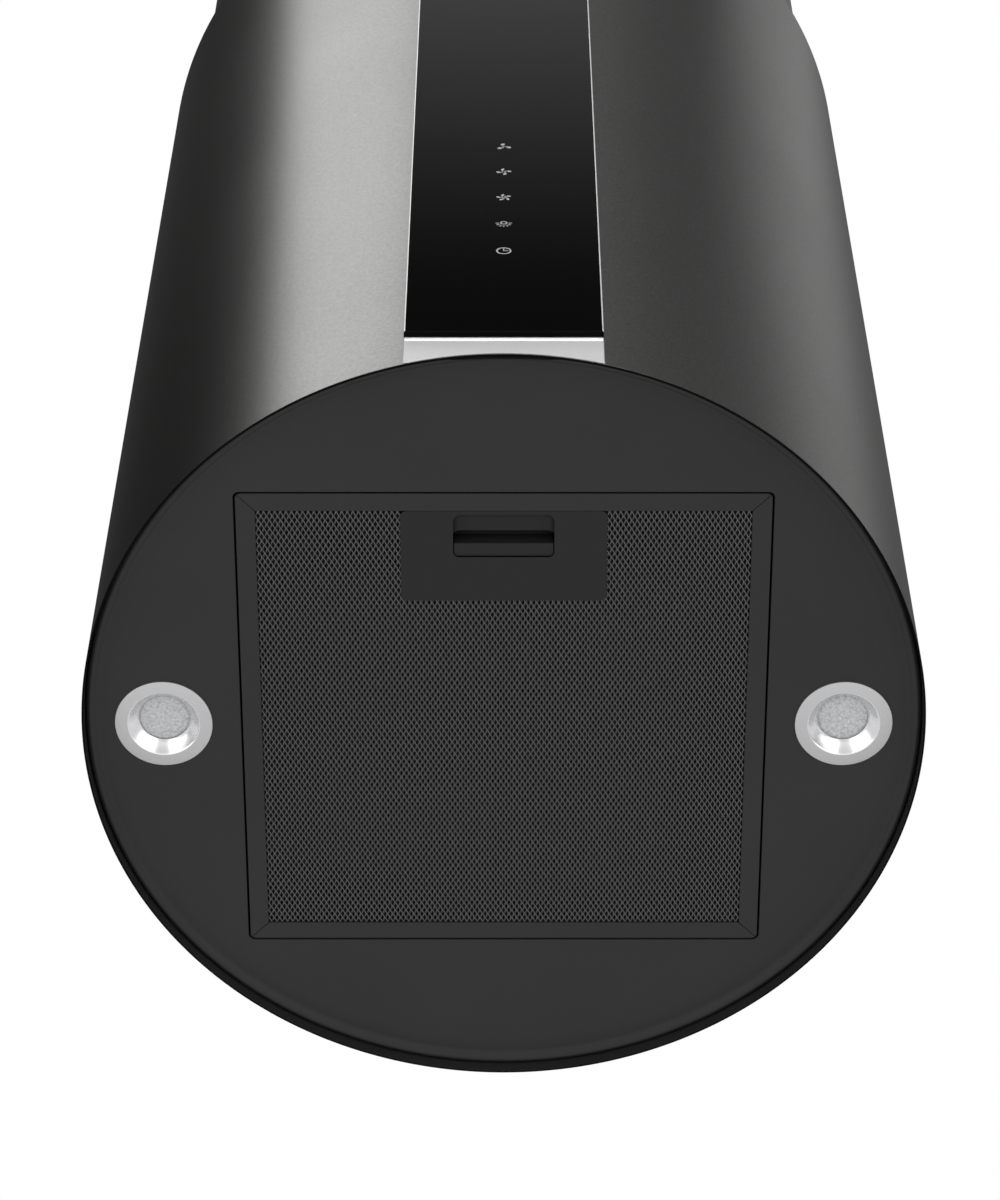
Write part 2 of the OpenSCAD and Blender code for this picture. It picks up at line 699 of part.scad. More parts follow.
module filter_mesh_face() color("#4a4a4a") mesh_layer(mesh_z + 0.05, sheet_t, -0.15);

module filter_mesh_pack() color("silver")
    mesh_layer(mesh_z + sheet_t + 0.1, mesh_top - mesh_z - 2 * sheet_t - 0.2, 3.7);

module filter_mesh_back() color("#4a4a4a") mesh_layer(mesh_top - sheet_t - 0.05, sheet_t, 3.7);

module filter_tabs() color("silver") at_rim() for (x = [-tab_at, tab_at])
    translate([x - tab_w / 2, filter_w / 2 + 0.05, plate_recess + 4.6]) {
        cube([tab_w, 4, 1.2]);
        cube([tab_w, 0.35, 3.6]);
    }

// The finger pocket's floor: a round hollow that starts flush at the front
module scoop() {
    difference() {
        translate([-pocket_w / 2 - 1, pocket_y0 - 1, handle_z])
            cube([pocket_w + 2, scoop_d + 1, scoop_h + 0.8]);
        translate([-pocket_w, pocket_y0 + scoop_d, handle_z + scoop_h - scoop_r]) rotate([0, 90, 0])
            cylinder(r = scoop_r, h = 2 * pocket_w);
    }
}

module handle_plate() color("#333333") at_rim() {
    cup_d = pocket_d + spring_len + 2.4 + cup_wall;
    difference() {
        union() {
            translate([-handle_w / 2, handle_y0, handle_z]) cube([handle_w, handle_d, handle_skin]);
            translate([-handle_w / 2 + 4, handle_y0 + 0.5, handle_z]) cube([handle_w - 8, handle_d - 5, 7]);
            translate([-pocket_w / 2 - 2 - cup_wall, handle_y0 + 0.5, handle_z])
                cube([pocket_w + 4 + 2 * cup_wall, cup_d, handle_top - handle_z]);
        }
        translate([-pocket_w / 2, pocket_y0, handle_z - 1]) cube([pocket_w, pocket_d, 4]);
        translate([-pocket_w / 2 - 1, pocket_y0 - 0.9, handle_z + handle_skin])
            cube([pocket_w + 2, pocket_d + spring_len + 1.1,
                  handle_top - handle_z - handle_skin - cup_wall]);
        translate([-tongue_w / 2 - 0.4, handle_y0 - 1, tongue_z - 0.3])
            cube([tongue_w + 0.8, 6, handle_top - cup_wall - tongue_z + 0.3]);
    }
    scoop();
}

module latch_slider() color("#2b2b2b") at_rim() {
    strip_y = pocket_y1 - strip_w;
    strip_z = handle_z + handle_skin + tiny_gap;
    arm_z = handle_z + 9.4;
    heel_y = handle_y0 + 3.4;
    tip_y = -filter_w / 2 - filter_gap + 0.25;
    difference() {
        translate([-pocket_w / 2 + 0.3, strip_y, strip_z])
            cube([pocket_w - 0.6, strip_w - tiny_gap, arm_z + 2 - strip_z]);
        translate([-pocket_w / 2 + 2, strip_y + 1.4, strip_z + 1.4])
            cube([pocket_w - 4, strip_w + 1, arm_z - strip_z - 1.4]);
    }
    translate([-pocket_w / 2 + 0.3, heel_y, arm_z]) cube([pocket_w - 0.6, strip_y - heel_y + 0.4, 2]);
    translate([-tongue_w / 2, heel_y, tongue_z + tongue_t - 0.01])
        cube([tongue_w, 2, arm_z - tongue_z - tongue_t + 0.02]);
    translate([-tongue_w / 2, tip_y, tongue_z]) cube([tongue_w, heel_y + 2 - tip_y, tongue_t]);
}

module latch_spring() color("silver") at_rim()
    translate([0, pocket_y1 - 0.05, handle_z + 5.6]) rotate([-90, 0, 0])
        for (i = [0:4]) translate([0, 0, i * (spring_len - 0.7) / 4]) ring(2.6, 1.9, 0.7);

ceiling_plate();
upper_post(-1, -1);  // upper_post_front_left
upper_post(1, -1);  // upper_post_front_right
upper_post(-1, 1);  // upper_post_rear_left
upper_post(1, 1);  // upper_post_rear_right
chimney_tube();
ceiling_screws();
chimney_screws();
hood_tube();
base_plate();
control_glass();
panel_trim();
panel_carrier();
touch_board();
touch_springs();
carrier_nuts();
lamp_bezel(-1);  // lamp_bezel_left
lamp_bezel(1);  // lamp_bezel_right
lamp_lens(-1);  // lamp_lens_left
lamp_lens(1);  // lamp_lens_right
lamp_led(-1);  // lamp_led_left
lamp_led(1);  // lamp_led_right
lamp_housing(-1);  // lamp_housing_left
lamp_housing(1);  // lamp_housing_right
lamp_clips(-1);  // lamp_clips_left
lamp_clips(1);  // lamp_clips_right
blower_deck();
lower_post(-1, -1);  // lower_post_front_left
lower_post(1, -1);  // lower_post_front_right
lower_post(-1, 1);  // lower_post_rear_left
lower_post(1, 1);  // lower_post_rear_right
height_bolts();
deck_screws();
scroll_wrapper();
scroll_side(-1);  // scroll_side_left
scroll_side(1);  // scroll_side_right
inlet_ring(-1);  // inlet_ring_left
inlet_ring(1);  // inlet_ring_right
motor_housing();
motor_bracket();
motor_bushes();
run_capacitor();
outlet_collar();
flap_pins();
control_box();
control_box_lid();
power_board();
cable_gland();
impeller();
motor_shaft();
flap(-1);  // flap_front
flap(1);  // flap_rear
filter_frame();
filter_mesh_face();
filter_mesh_pack();
filter_mesh_back();
filter_tabs();
handle_plate();
latch_slider();
latch_spring();
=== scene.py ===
"""Island range hood: a round steel body on telescopic posts, with a glass panel, two lamps and a
square grease filter underneath. Metres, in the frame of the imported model."""
import json
import math

import bpy
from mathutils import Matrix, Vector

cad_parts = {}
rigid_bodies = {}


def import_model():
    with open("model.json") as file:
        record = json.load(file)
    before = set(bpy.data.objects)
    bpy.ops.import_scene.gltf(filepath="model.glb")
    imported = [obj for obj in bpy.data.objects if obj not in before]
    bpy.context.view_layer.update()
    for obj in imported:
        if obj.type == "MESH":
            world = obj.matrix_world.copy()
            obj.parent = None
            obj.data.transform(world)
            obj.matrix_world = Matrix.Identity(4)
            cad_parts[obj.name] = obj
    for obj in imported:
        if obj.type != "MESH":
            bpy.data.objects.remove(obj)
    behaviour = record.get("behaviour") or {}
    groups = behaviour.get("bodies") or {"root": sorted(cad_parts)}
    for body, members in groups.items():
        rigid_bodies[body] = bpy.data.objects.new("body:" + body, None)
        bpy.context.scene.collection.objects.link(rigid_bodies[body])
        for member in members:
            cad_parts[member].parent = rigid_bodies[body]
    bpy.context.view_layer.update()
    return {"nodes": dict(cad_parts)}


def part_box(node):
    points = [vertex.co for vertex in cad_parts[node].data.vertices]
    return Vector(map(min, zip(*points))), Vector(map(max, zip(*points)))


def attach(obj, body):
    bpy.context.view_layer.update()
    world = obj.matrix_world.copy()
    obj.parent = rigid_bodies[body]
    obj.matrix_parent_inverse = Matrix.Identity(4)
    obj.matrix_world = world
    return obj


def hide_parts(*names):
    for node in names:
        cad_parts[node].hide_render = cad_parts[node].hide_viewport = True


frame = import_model()
nodes = frame["nodes"]


# ---- Camera ----
# It stands low in front of the hood and looks up at its underside, as somebody would who bends
# down under it. The lens is long, so the round body keeps its shape.
bpy.ops.object.camera_add(
    location=(0, -1.0403, -2.5201), rotation=(math.radians(149.903), 0, math.radians(-0.006))
)
camera = bpy.context.object
camera.data.lens = 124.45
camera.data.sensor_width = 36
camera.data.shift_x = -0.0033
camera.data.clip_start = 0.01
camera.data.clip_end = 100
bpy.context.scene.camera = camera


# ---- Ceiling plate and posts ----
# The plate and its skirt, the four upper posts screwed to it and the four lower posts inside them
# are pressed from galvanised sheet. Nothing is painted, since the chimney hides them.
def linear(hex_colour, alpha=1.0):
    """Linear RGBA of an sRGB hex colour."""
    parts = [int(hex_colour[i:i + 2], 16) / 255 for i in (1, 3, 5)]
    return [c / 12.92 if c <= 0.04045 else ((c + 0.055) / 1.055) ** 2.4 for c in parts] + [alpha]


def add_node(material, kind, inputs=None, tones=(), **settings):
    """Adds a node with its settings. An input is a value, or the output socket that feeds it, and
    tones are the sRGB hex colours at the two ends of a colour ramp."""
    node = material.node_tree.nodes.new(kind)
    for name, value in settings.items():
        setattr(node, name, value)
    for end, tone in enumerate(tones):
        node.color_ramp.elements[end].color = linear(tone)
    for name, value in (inputs or {}).items():
        if isinstance(value, bpy.types.NodeSocket):
            material.node_tree.links.new(value, node.inputs[name])
        else:
            node.inputs[name].default_value = value
    return node


def new_finish(name):
    """An empty material, with the object's own coordinates ready to drive its patterns."""
    material = bpy.data.materials.new(name)
    material.use_nodes = True
    material.node_tree.nodes.clear()
    place = add_node(material, "ShaderNodeTexCoord").outputs["Object"]
    return material, place


def give_finish(material, *names):
    """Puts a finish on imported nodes, in the slots they have."""
    for name in names:
        for slot in nodes[name].material_slots:
            slot.material = material


def show(material, surface):
    """Ends a material with its surface."""
    add_node(material, "ShaderNodeOutputMaterial", {"Surface": surface.outputs["BSDF"]})


# Galvanised steel, hot dipped: zinc crystals some 6 mm across, each a little lighter or darker
galvanised, place = new_finish("galvanised_steel")
crystals = add_node(
    galvanised, "ShaderNodeTexVoronoi", {"Vector": place, "Scale": 160.0, "Randomness": 1.0}
)
crystal_shade = add_node(
    galvanised, "ShaderNodeValToRGB", {"Fac": crystals.outputs["Color"]}, ("#8d9193", "#bcc0c1")
)
bloom = add_node(galvanised, "ShaderNodeTexNoise", {"Vector": place, "Scale": 400.0, "Detail": 4.0})
bloom_rough = add_node(
    galvanised, "ShaderNodeMapRange",
    {"Value": bloom.outputs["Fac"], "To Min": 0.32, "To Max": 0.52},
)
zinc_bump = add_node(
    galvanised, "ShaderNodeBump",
    {"Strength": 0.15, "Distance": 0.0002, "Height": bloom.outputs["Fac"]},
)
show(galvanised, add_node(
    galvanised, "ShaderNodeBsdfPrincipled",
    {"Base Color": crystal_shade.outputs["Color"], "Metallic": 1.0,
     "Roughness": bloom_rough.outputs["Result"], "Normal": zinc_bump.outputs["Normal"]},
))
give_finish(
    galvanised, "ceiling_plate",
    "upper_post_front_left", "upper_post_front_right", "upper_post_rear_left",
    "upper_post_rear_right", "lower_post_front_left", "lower_post_front_right",
    "lower_post_rear_left", "lower_post_rear_right",
)


# ---- Screws and bolts ----
# Pan-head screws and the height bolts are steel with a bright zinc plating, which gives a clean
# silver with a faint blue and fine turning marks on the heads.
zinc_plated, place = new_finish("zinc_plated_steel")
marks = add_node(zinc_plated, "ShaderNodeTexNoise", {"Vector": place, "Scale": 1500.0, "Detail": 3.0})
mark_rough = add_node(
    zinc_plated, "ShaderNodeMapRange",
    {"Value": marks.outputs["Fac"], "To Min": 0.18, "To Max": 0.34},
)
tint = add_node(
    zinc_plated, "ShaderNodeValToRGB", {"Fac": marks.outputs["Fac"]}, ("#a9adb2", "#c9cccf")
)
show(zinc_plated, add_node(
    zinc_plated, "ShaderNodeBsdfPrincipled",
    {"Base Color": tint.outputs["Color"], "Metallic": 1.0,
     "Roughness": mark_rough.outputs["Result"]},
))
give_finish(
    zinc_plated, "ceiling_screws", "chimney_screws", "height_bolts", "deck_screws",
    "carrier_nuts", "flap_pins", "filter_tabs",
)


# ---- Chimney tube ----
# A sheet of black stainless steel, rolled and welded into a tube with its seam at the back. It
# hangs from the ceiling plate, and the body slides up over it.
def open_new(name):
    """Names the primitive just added and opens it for editing, with all of it selected."""
    piece = bpy.context.object
    piece.name = name
    bpy.ops.object.mode_set(mode="EDIT")
    bpy.ops.mesh.select_mode(type="VERT")
    bpy.ops.mesh.select_all(action="SELECT")
    return piece


def draw_on(outline, centre=(0, 0)):
    """Draws the selected loop on through (size, height) points: each step extrudes and scales it."""
    size, height = outline[0]
    for next_size, next_height in outline[1:]:
        bpy.ops.mesh.extrude_region_move(
            TRANSFORM_OT_translate={"value": (0, 0, next_height - height)}
        )
        k = next_size / size
        bpy.ops.transform.resize(value=(k, k, 1), center_override=(*centre, next_height))
        size, height = next_size, next_height


def point_outwards():
    """Turns all the faces of the piece being edited outwards, and leaves edit mode."""
    bpy.ops.mesh.select_all(action="SELECT")
    bpy.ops.mesh.normals_make_consistent(inside=False)
    bpy.ops.object.mode_set(mode="OBJECT")


def turned(name, outline, sides=256, x=0.0):
    """A ring turned about an upright axis from a closed outline of (radius, height) points."""
    bpy.ops.object.select_all(action="DESELECT")
    radius, height = outline[0]
    bpy.ops.mesh.primitive_circle_add(vertices=sides, radius=radius, location=(0, 0, 0))
    piece = open_new(name)
    bpy.ops.transform.translate(value=(x, 0, height))
    draw_on(outline + outline[:1], centre=(x, 0))
    bpy.ops.mesh.select_all(action="SELECT")
    bpy.ops.mesh.remove_doubles(threshold=0.00001)
    point_outwards()
    return piece


def select_faces(piece, wanted):
    """Selects the faces whose centre and normal pass the test; edit mode stays on."""
    bpy.ops.object.mode_set(mode="EDIT")
    bpy.ops.mesh.select_mode(type="FACE")
    bpy.ops.mesh.select_all(action="DESELECT")
    bpy.ops.object.mode_set(mode="OBJECT")
    for face in piece.data.polygons:
        face.select = wanted(face.center, face.normal)
    bpy.ops.object.mode_set(mode="EDIT")


def select_edges(piece, wanted):
    """Selects the edges whose two ends pass the test; edit mode stays on."""
    bpy.ops.object.mode_set(mode="EDIT")
    bpy.ops.mesh.select_mode(type="EDGE")
    bpy.ops.mesh.select_all(action="DESELECT")
    bpy.ops.object.mode_set(mode="OBJECT")
    points = piece.data.vertices
    for edge in piece.data.edges:
        a, b = edge.vertices
        edge.select = wanted(points[a].co, points[b].co)
    bpy.ops.object.mode_set(mode="EDIT")


def pick(*pieces):
    """Selects these pieces alone; the first one is the active one."""
    bpy.ops.object.select_all(action="DESELECT")
    for piece in pieces:
        piece.select_set(True)
    bpy.context.view_layer.objects.active = pieces[0]


def smooth(piece, degrees=30):
    """Leaves edit mode and shades smooth, with edges sharper than that left crisp."""
    if bpy.context.mode != "OBJECT":
        bpy.ops.object.mode_set(mode="OBJECT")
    pick(piece)
    bpy.ops.object.shade_smooth_by_angle(angle=math.radians(degrees))


def cut_across(piece, co, no):
    """Cuts new edges through the whole piece along a plane."""
    bpy.ops.object.mode_set(mode="EDIT")
    bpy.ops.mesh.select_all(action="SELECT")
    bpy.ops.mesh.bisect(plane_co=co, plane_no=no, threshold=0.000001)
    bpy.ops.object.mode_set(mode="OBJECT")


def weld_seam(piece, low, high, radius):
    """Presses the weld seam, a groove 1 mm wide, into the back of a rolled tube."""
    for x in (-0.0005, 0.0005):
        cut_across(piece, (x, 0, 0), (1, 0, 0))
    select_faces(piece, lambda c, n: abs(c.x) < 0.0004 and c.y > 0.1 and n.y > 0.9
                 and low + 0.002 < c.z < high - 0.002)
    bpy.ops.transform.translate(value=(0, -0.0003, 0))
    bpy.ops.object.mode_set(mode="OBJECT")


# Black stainless steel, colour coated and shot-peened to a satin: a graphite tone with a mottled
# grain some 1.6 mm across, which shows wherever a light is mirrored
black_stainless, place = new_finish("black_stainless_satin")
mottle = add_node(
    black_stainless, "ShaderNodeTexNoise",
    {"Vector": place, "Scale": 620.0, "Detail": 3.0, "Roughness": 0.6},
)
cloud = add_node(
    black_stainless, "ShaderNodeTexNoise", {"Vector": place, "Scale": 9.0, "Detail": 2.0}
)
mottle_tone = add_node(
    black_stainless, "ShaderNodeValToRGB", {"Fac": mottle.outputs["Fac"]}, ("#6a6a69", "#7b7b7a")
)
mottle_tone.color_ramp.elements[0].position = 0.3
mottle_tone.color_ramp.elements[1].position = 0.7
satin_rough = add_node(
    black_stainless, "ShaderNodeMapRange",
    {"Value": cloud.outputs["Fac"], "To Min": 0.3, "To Max": 0.35},
)
peened = add_node(
    black_stainless, "ShaderNodeBump",
    {"Strength": 0.35, "Distance": 0.00006, "Height": mottle.outputs["Fac"]},
)
show(black_stainless, add_node(
    black_stainless, "ShaderNodeBsdfPrincipled",
    {"Base Color": mottle_tone.outputs["Color"], "Metallic": 1.0,
     "Roughness": satin_rough.outputs["Result"], "Normal": peened.outputs["Normal"]},
))

low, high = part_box("chimney_tube")
radius, wall, edge = high.x, 0.001, 0.0003
chimney = turned("chimney_tube_rolled", [
    (radius - edge, low.z), (radius, low.z + edge), (radius, high.z - edge),
    (radius - edge, high.z), (radius - wall, high.z), (radius - wall, low.z),
])
weld_seam(chimney, low.z, high.z, radius)
smooth(chimney)
chimney.data.materials.append(black_stainless)
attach(chimney, "ceiling_frame")
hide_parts("chimney_tube")


# ---- Round body ----
# The same black stainless, rolled to the hood's round body and welded at the back. A slot in its
# front takes the glass panel, and a thin hoop of metal closes the circle under and over it.
low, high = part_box("hood_tube")
glass_low, glass_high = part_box("control_glass")
radius, wall, edge = high.x, 0.001, 0.00035
body = turned("round_body_rolled", [
    (radius - edge, low.z), (radius - 0.0001, low.z + 0.0001), (radius, low.z + edge),
    (radius, high.z - edge), (radius - edge, high.z), (radius - wall, high.z),
    (radius - wall, low.z),
], sides=320)
slot_low, slot_high = low.z + 0.0012, glass_high.z
for x in (glass_low.x, glass_high.x):
    cut_across(body, (x, 0, 0), (1, 0, 0))
for z in (slot_low, slot_high):
    cut_across(body, (0, 0, z), (0, 0, 1))
select_faces(body, lambda c, n: c.y < 0 and glass_low.x < c.x < glass_high.x
             and slot_low < c.z < slot_high)
bpy.ops.mesh.delete(type="FACE")
bpy.ops.mesh.select_mode(type="EDGE")
bpy.ops.mesh.select_non_manifold(
    extend=False, use_wire=False, use_multi_face=False, use_non_contiguous=False, use_verts=False
)
bpy.ops.mesh.bridge_edge_loops()
point_outwards()
weld_seam(body, low.z, high.z, radius)
smooth(body)
body.data.materials.append(black_stainless)
# The cut edge is painted a dull near-black as shade: a painted dark line that closes the outline of the
# rim
edge_painted_shade, place = new_finish("painted_shade_black")
edge_shade_grain = add_node(edge_painted_shade, "ShaderNodeTexNoise", {"Vector": place, "Scale": 900.0, "Detail": 2.0})
edge_shade_tone = add_node(
    edge_painted_shade, "ShaderNodeValToRGB", {"Fac": edge_shade_grain.outputs["Fac"]}, ("#020202", "#050505")
)
show(edge_painted_shade, add_node(
    edge_painted_shade, "ShaderNodeBsdfPrincipled",
    {"Base Color": edge_shade_tone.outputs["Color"], "Roughness": 0.6, "Specular IOR Level": 0.05},
))
body.data.materials.append(edge_painted_shade)
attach(body, "hood")
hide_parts("hood_tube")


# ---- Base plate ----
# One pressed steel plate, powder coated black, set a little above the rim. Its edge is rolled up
# into a flange that is riveted in the body, and its square opening has a rolled lip for the filter.
rim = low.z
plate_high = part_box("base_plate")[1]
face = rim + 0.008
flange, flat_r, edge_r, bead = plate_high.x, plate_high.x - 0.0085, 0.0024, face - 0.0023
bpy.ops.object.select_all(action="DESELECT")
bpy.ops.mesh.primitive_circle_add(vertices=256, radius=flat_r, location=(0, 0, 0))
plate = open_new("base_plate_pressed")
bpy.ops.transform.translate(value=(0, 0, face))
rolled = [
    (flat_r, face), (flange - 0.0066, face + 0.0002), (flange - 0.0054, face - 0.0002),
    (flange - 0.0043, face - 0.0013), (flange - 0.0034, face - 0.0021), (flange - edge_r, bead),
]
for step in range(1, 9):
    bend = math.radians(step * 90 / 8)
    rolled.append((
        flange - edge_r + edge_r * math.sin(bend), bead + edge_r * (1 - math.cos(bend))
    ))
draw_on(rolled + [(flange, plate_high.z)])
# the outlines of the filter opening and of the two lamp holes
opening, opening_r, lip_in, lamp_x, lamp_hole_r = 0.2505, 0.003, 0.0003, 0.1617, 0.0211
bpy.ops.mesh.select_all(action="DESELECT")
bpy.ops.mesh.primitive_plane_add(size=opening, location=(0, 0, face))
bpy.ops.mesh.bevel(offset=opening_r, segments=8, affect="VERTICES")
bpy.ops.mesh.delete(type="ONLY_FACE")
for side in (-1, 1):
    bpy.ops.mesh.primitive_circle_add(
        vertices=64, radius=lamp_hole_r, location=(side * lamp_x, 0, face)
    )
select_edges(plate, lambda a, b: max(abs(a.z - face), abs(b.z - face)) < 1e-5)
bpy.ops.mesh.fill(use_beauty=True)
# the opening's lip, rolled over and drawn straight up
select_edges(plate, lambda a, b: max(abs(a.z - face), abs(b.z - face)) < 1e-5
             and opening / 2 - opening_r < max(abs(a.x), abs(a.y)) < opening / 2 + 1e-5
             and opening / 2 - opening_r < max(abs(b.x), abs(b.y)) < opening / 2 + 1e-5
             and (a - b).length < opening)
lip = [(opening / 2, face)]
for step in range(1, 6):
    bend = math.radians(step * 90 / 5)
    lip.append((opening / 2 - lip_in * math.sin(bend), face + 0.0012 * (1 - math.cos(bend))))
draw_on(lip + [(opening / 2 - lip_in, face + 0.013)])
# the front of the rolled edge is cut off flat behind the panel
bpy.ops.mesh.select_all(action="SELECT")
bpy.ops.mesh.bisect(
    plane_co=(0, glass_high.y + 0.0006, 0), plane_no=(0, -1, 0), clear_outer=True, threshold=1e-6
)
point_outwards()


def turn_over(wrong_way):
    """Flips the selected faces of the active piece where they came out facing the wrong way."""
    if wrong_way:
        bpy.ops.object.mode_set(mode="EDIT")
        bpy.ops.mesh.flip_normals()
        bpy.ops.object.mode_set(mode="OBJECT")


def add_modifier(piece, kind, **settings):
    """Adds a modifier with its settings and applies it."""
    pick(piece)
    bpy.ops.object.modifier_add(type=kind)
    modifier = piece.modifiers[-1]
    for name, value in settings.items():
        setattr(modifier, name, value)
    bpy.ops.object.modifier_apply(modifier=modifier.name)


turn_over(max(plate.data.polygons, key=lambda p: p.area).normal.z > 0)
add_modifier(plate, "SOLIDIFY", thickness=0.001, offset=-1)
smooth(plate, 40)
add_modifier(plate, "WEIGHTED_NORMAL", keep_sharp=True)

# The sloping lip that closes the gap between the plate's straight front edge and the round hoop
hoop_inside, lip_front, lip_back, lip_rise = 0.1990, -0.1949, 0.0039, 0.0077
bpy.ops.object.select_all(action="DESELECT")
bpy.ops.mesh.primitive_circle_add(vertices=256, radius=hoop_inside, location=(0, 0, 0))
front_lip = open_new("front_lip")
bpy.ops.transform.translate(value=(0, 0, rim + 0.0013))
bpy.ops.mesh.bisect(
    plane_co=(0, lip_front, 0), plane_no=(0, 1, 0), clear_outer=True, threshold=1e-6
)
bpy.ops.mesh.select_all(action="SELECT")
bpy.ops.mesh.extrude_region_move(TRANSFORM_OT_translate={"value": (0, lip_back, lip_rise)})
point_outwards()
add_modifier(front_lip, "SOLIDIFY", thickness=0.0008, offset=0)
smooth(front_lip, 40)

# Black polyester powder coat on steel: nearly flat black with a soft sheen, and an orange peel
# some 1.5 mm across that breaks up whatever it mirrors
powder_coat, place = new_finish("black_powder_coat")
peel = add_node(powder_coat, "ShaderNodeTexNoise", {"Vector": place, "Scale": 700.0, "Detail": 2.0})
dust = add_node(powder_coat, "ShaderNodeTexNoise", {"Vector": place, "Scale": 12.0, "Detail": 3.0})
coat_tone = add_node(
    powder_coat, "ShaderNodeValToRGB", {"Fac": dust.outputs["Fac"]}, ("#222223", "#29292a")
)
coat_rough = add_node(
    powder_coat, "ShaderNodeMapRange",
    {"Value": peel.outputs["Fac"], "To Min": 0.38, "To Max": 0.5},
)
coat_bump = add_node(
    powder_coat, "ShaderNodeBump",
    {"Strength": 0.2, "Distance": 0.00008, "Height": peel.outputs["Fac"]},
)
show(powder_coat, add_node(
    powder_coat, "ShaderNodeBsdfPrincipled",
    {"Base Color": coat_tone.outputs["Color"], "Roughness": coat_rough.outputs["Result"],
     "IOR": 1.5, "Specular IOR Level": 0.24, "Normal": coat_bump.outputs["Normal"]},
))
# the inside of the rim, below the plate, is coated with it too
body.data.materials.append(powder_coat)
# faces looking down take the painted shade black, and the inside of the rim the powder coat
for patch in body.data.polygons:
    inside = math.hypot(patch.center.x, patch.center.y) < radius - 0.0006
    patch.material_index = 1 if patch.normal.z < -0.3 else 2 if inside else 0
for piece in (plate, front_lip):
    piece.data.materials.append(powder_coat)
    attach(piece, "hood")
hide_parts("base_plate")


# ---- Glass panel ----
# Black glass, cut straight, with ground and polished edges, stuck to the carrier behind it. Five
# touch marks are printed on it in white: three fan speeds, the lamps and the timer.
def open_box(name, low_corner, high_corner):
    """Adds a box between two corners and opens it for editing, with all of it selected."""
    bpy.ops.object.select_all(action="DESELECT")
    bpy.ops.mesh.primitive_cube_add(size=1, location=(0, 0, 0))
    piece = open_new(name)
    bpy.ops.transform.resize(value=[b - a for a, b in zip(low_corner, high_corner)])
    bpy.ops.transform.translate(value=[(a + b) / 2 for a, b in zip(low_corner, high_corner)])
    return piece


glass = open_box("control_glass_panel", glass_low, glass_high)
select_edges(glass, lambda a, b: max(a.y, b.y) < glass_low.y + 0.0001)
bpy.ops.mesh.bevel(offset=0.0006, segments=2, profile=0.5, affect="EDGES")
smooth(glass, 20)
add_modifier(glass, "WEIGHTED_NORMAL", keep_sharp=True)

# Soda-lime glass painted black on its back: a deep black with a hard, clean mirror
black_glass, place = new_finish("black_painted_glass")
roller = add_node(black_glass, "ShaderNodeTexNoise", {"Vector": place, "Scale": 14.0, "Detail": 1.0})
roller_bump = add_node(
    black_glass, "ShaderNodeBump",
    {"Strength": 0.04, "Distance": 0.0004, "Height": roller.outputs["Fac"]},
)
smear = add_node(
    black_glass, "ShaderNodeMapRange",
    {"Value": roller.outputs["Fac"], "To Min": 0.03, "To Max": 0.06},
)
show(black_glass, add_node(
    black_glass, "ShaderNodeBsdfPrincipled",
    {"Base Color": linear("#050506"), "Roughness": smear.outputs["Result"], "IOR": 1.52,
     "Normal": roller_bump.outputs["Normal"]},
))
# Ground glass on the side bevels: the polish is not perfect, and their near-white colour is partly the
# frosted ground edge and partly a painted highlight for the thin line of light the edge catches
ground_edge_highlight, place = new_finish("ground_glass_edge_painted_highlight")
grind = add_node(ground_edge_highlight, "ShaderNodeTexNoise", {"Vector": place, "Scale": 900.0, "Detail": 2.0})
edge_highlight_tone = add_node(
    ground_edge_highlight, "ShaderNodeValToRGB", {"Fac": grind.outputs["Fac"]}, ("#c9cccb", "#f0f2f1")
)
show(ground_edge_highlight, add_node(
    ground_edge_highlight, "ShaderNodeBsdfPrincipled",
    {"Base Color": edge_highlight_tone.outputs["Color"], "Roughness": 0.25, "IOR": 1.52},
))
glass.data.materials.append(black_glass)
glass.data.materials.append(ground_edge_highlight)
# the glass's top and bottom take the painted shade black too
glass.data.materials.append(edge_painted_shade)
# the side bevels take the near-white painted highlight
for patch in glass.data.polygons:
    if 0.2 < abs(patch.normal.y) < 0.98 and abs(patch.normal.x) > 0.1:
        patch.material_index = 1
    elif abs(patch.normal.z) > 0.2:
        patch.material_index = 2
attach(glass, "hood")
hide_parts("control_glass")


def flat_mark(name, shapes):
    """Draws flat shapes of (sides, x, z, width, height, turn, wall), filled where the wall is 0."""
    bpy.ops.object.select_all(action="DESELECT")
    bpy.ops.mesh.primitive_circle_add(vertices=3, radius=0.0001, location=(0, 0, 0))
    piece = open_new(name)
    bpy.ops.mesh.delete(type="VERT")
    for sides, x, z, width, height, turn, wall in shapes:
        bpy.ops.mesh.select_all(action="DESELECT")
        bpy.ops.mesh.primitive_circle_add(
            vertices=sides, radius=0.5, fill_type="NOTHING" if wall else "NGON",
            location=(0, 0, 0), rotation=(0, 0, math.radians(180 / sides))
        )
        k = 1 / math.cos(math.pi / sides) if sides == 4 else 1
        bpy.ops.transform.resize(value=(width * k, height * k, 1), center_override=(0, 0, 0))
        if wall:
            bpy.ops.mesh.extrude_region_move()
            k = 1 - 2 * wall / width
            bpy.ops.transform.resize(value=(k, k, 1), center_override=(0, 0, 0))
            bpy.ops.mesh.select_linked(delimit=set())
        bpy.ops.transform.rotate(
            value=math.radians(-turn), orient_axis="Z", center_override=(0, 0, 0)
        )
        bpy.ops.transform.translate(value=(x, z, 0))
    bpy.ops.mesh.select_all(action="SELECT")
    bpy.ops.transform.rotate(value=math.radians(-90), orient_axis="X", center_override=(0, 0, 0))
    bpy.ops.object.mode_set(mode="OBJECT")
    turn_over(piece.data.polygons[0].normal.y > 0)
    return piece


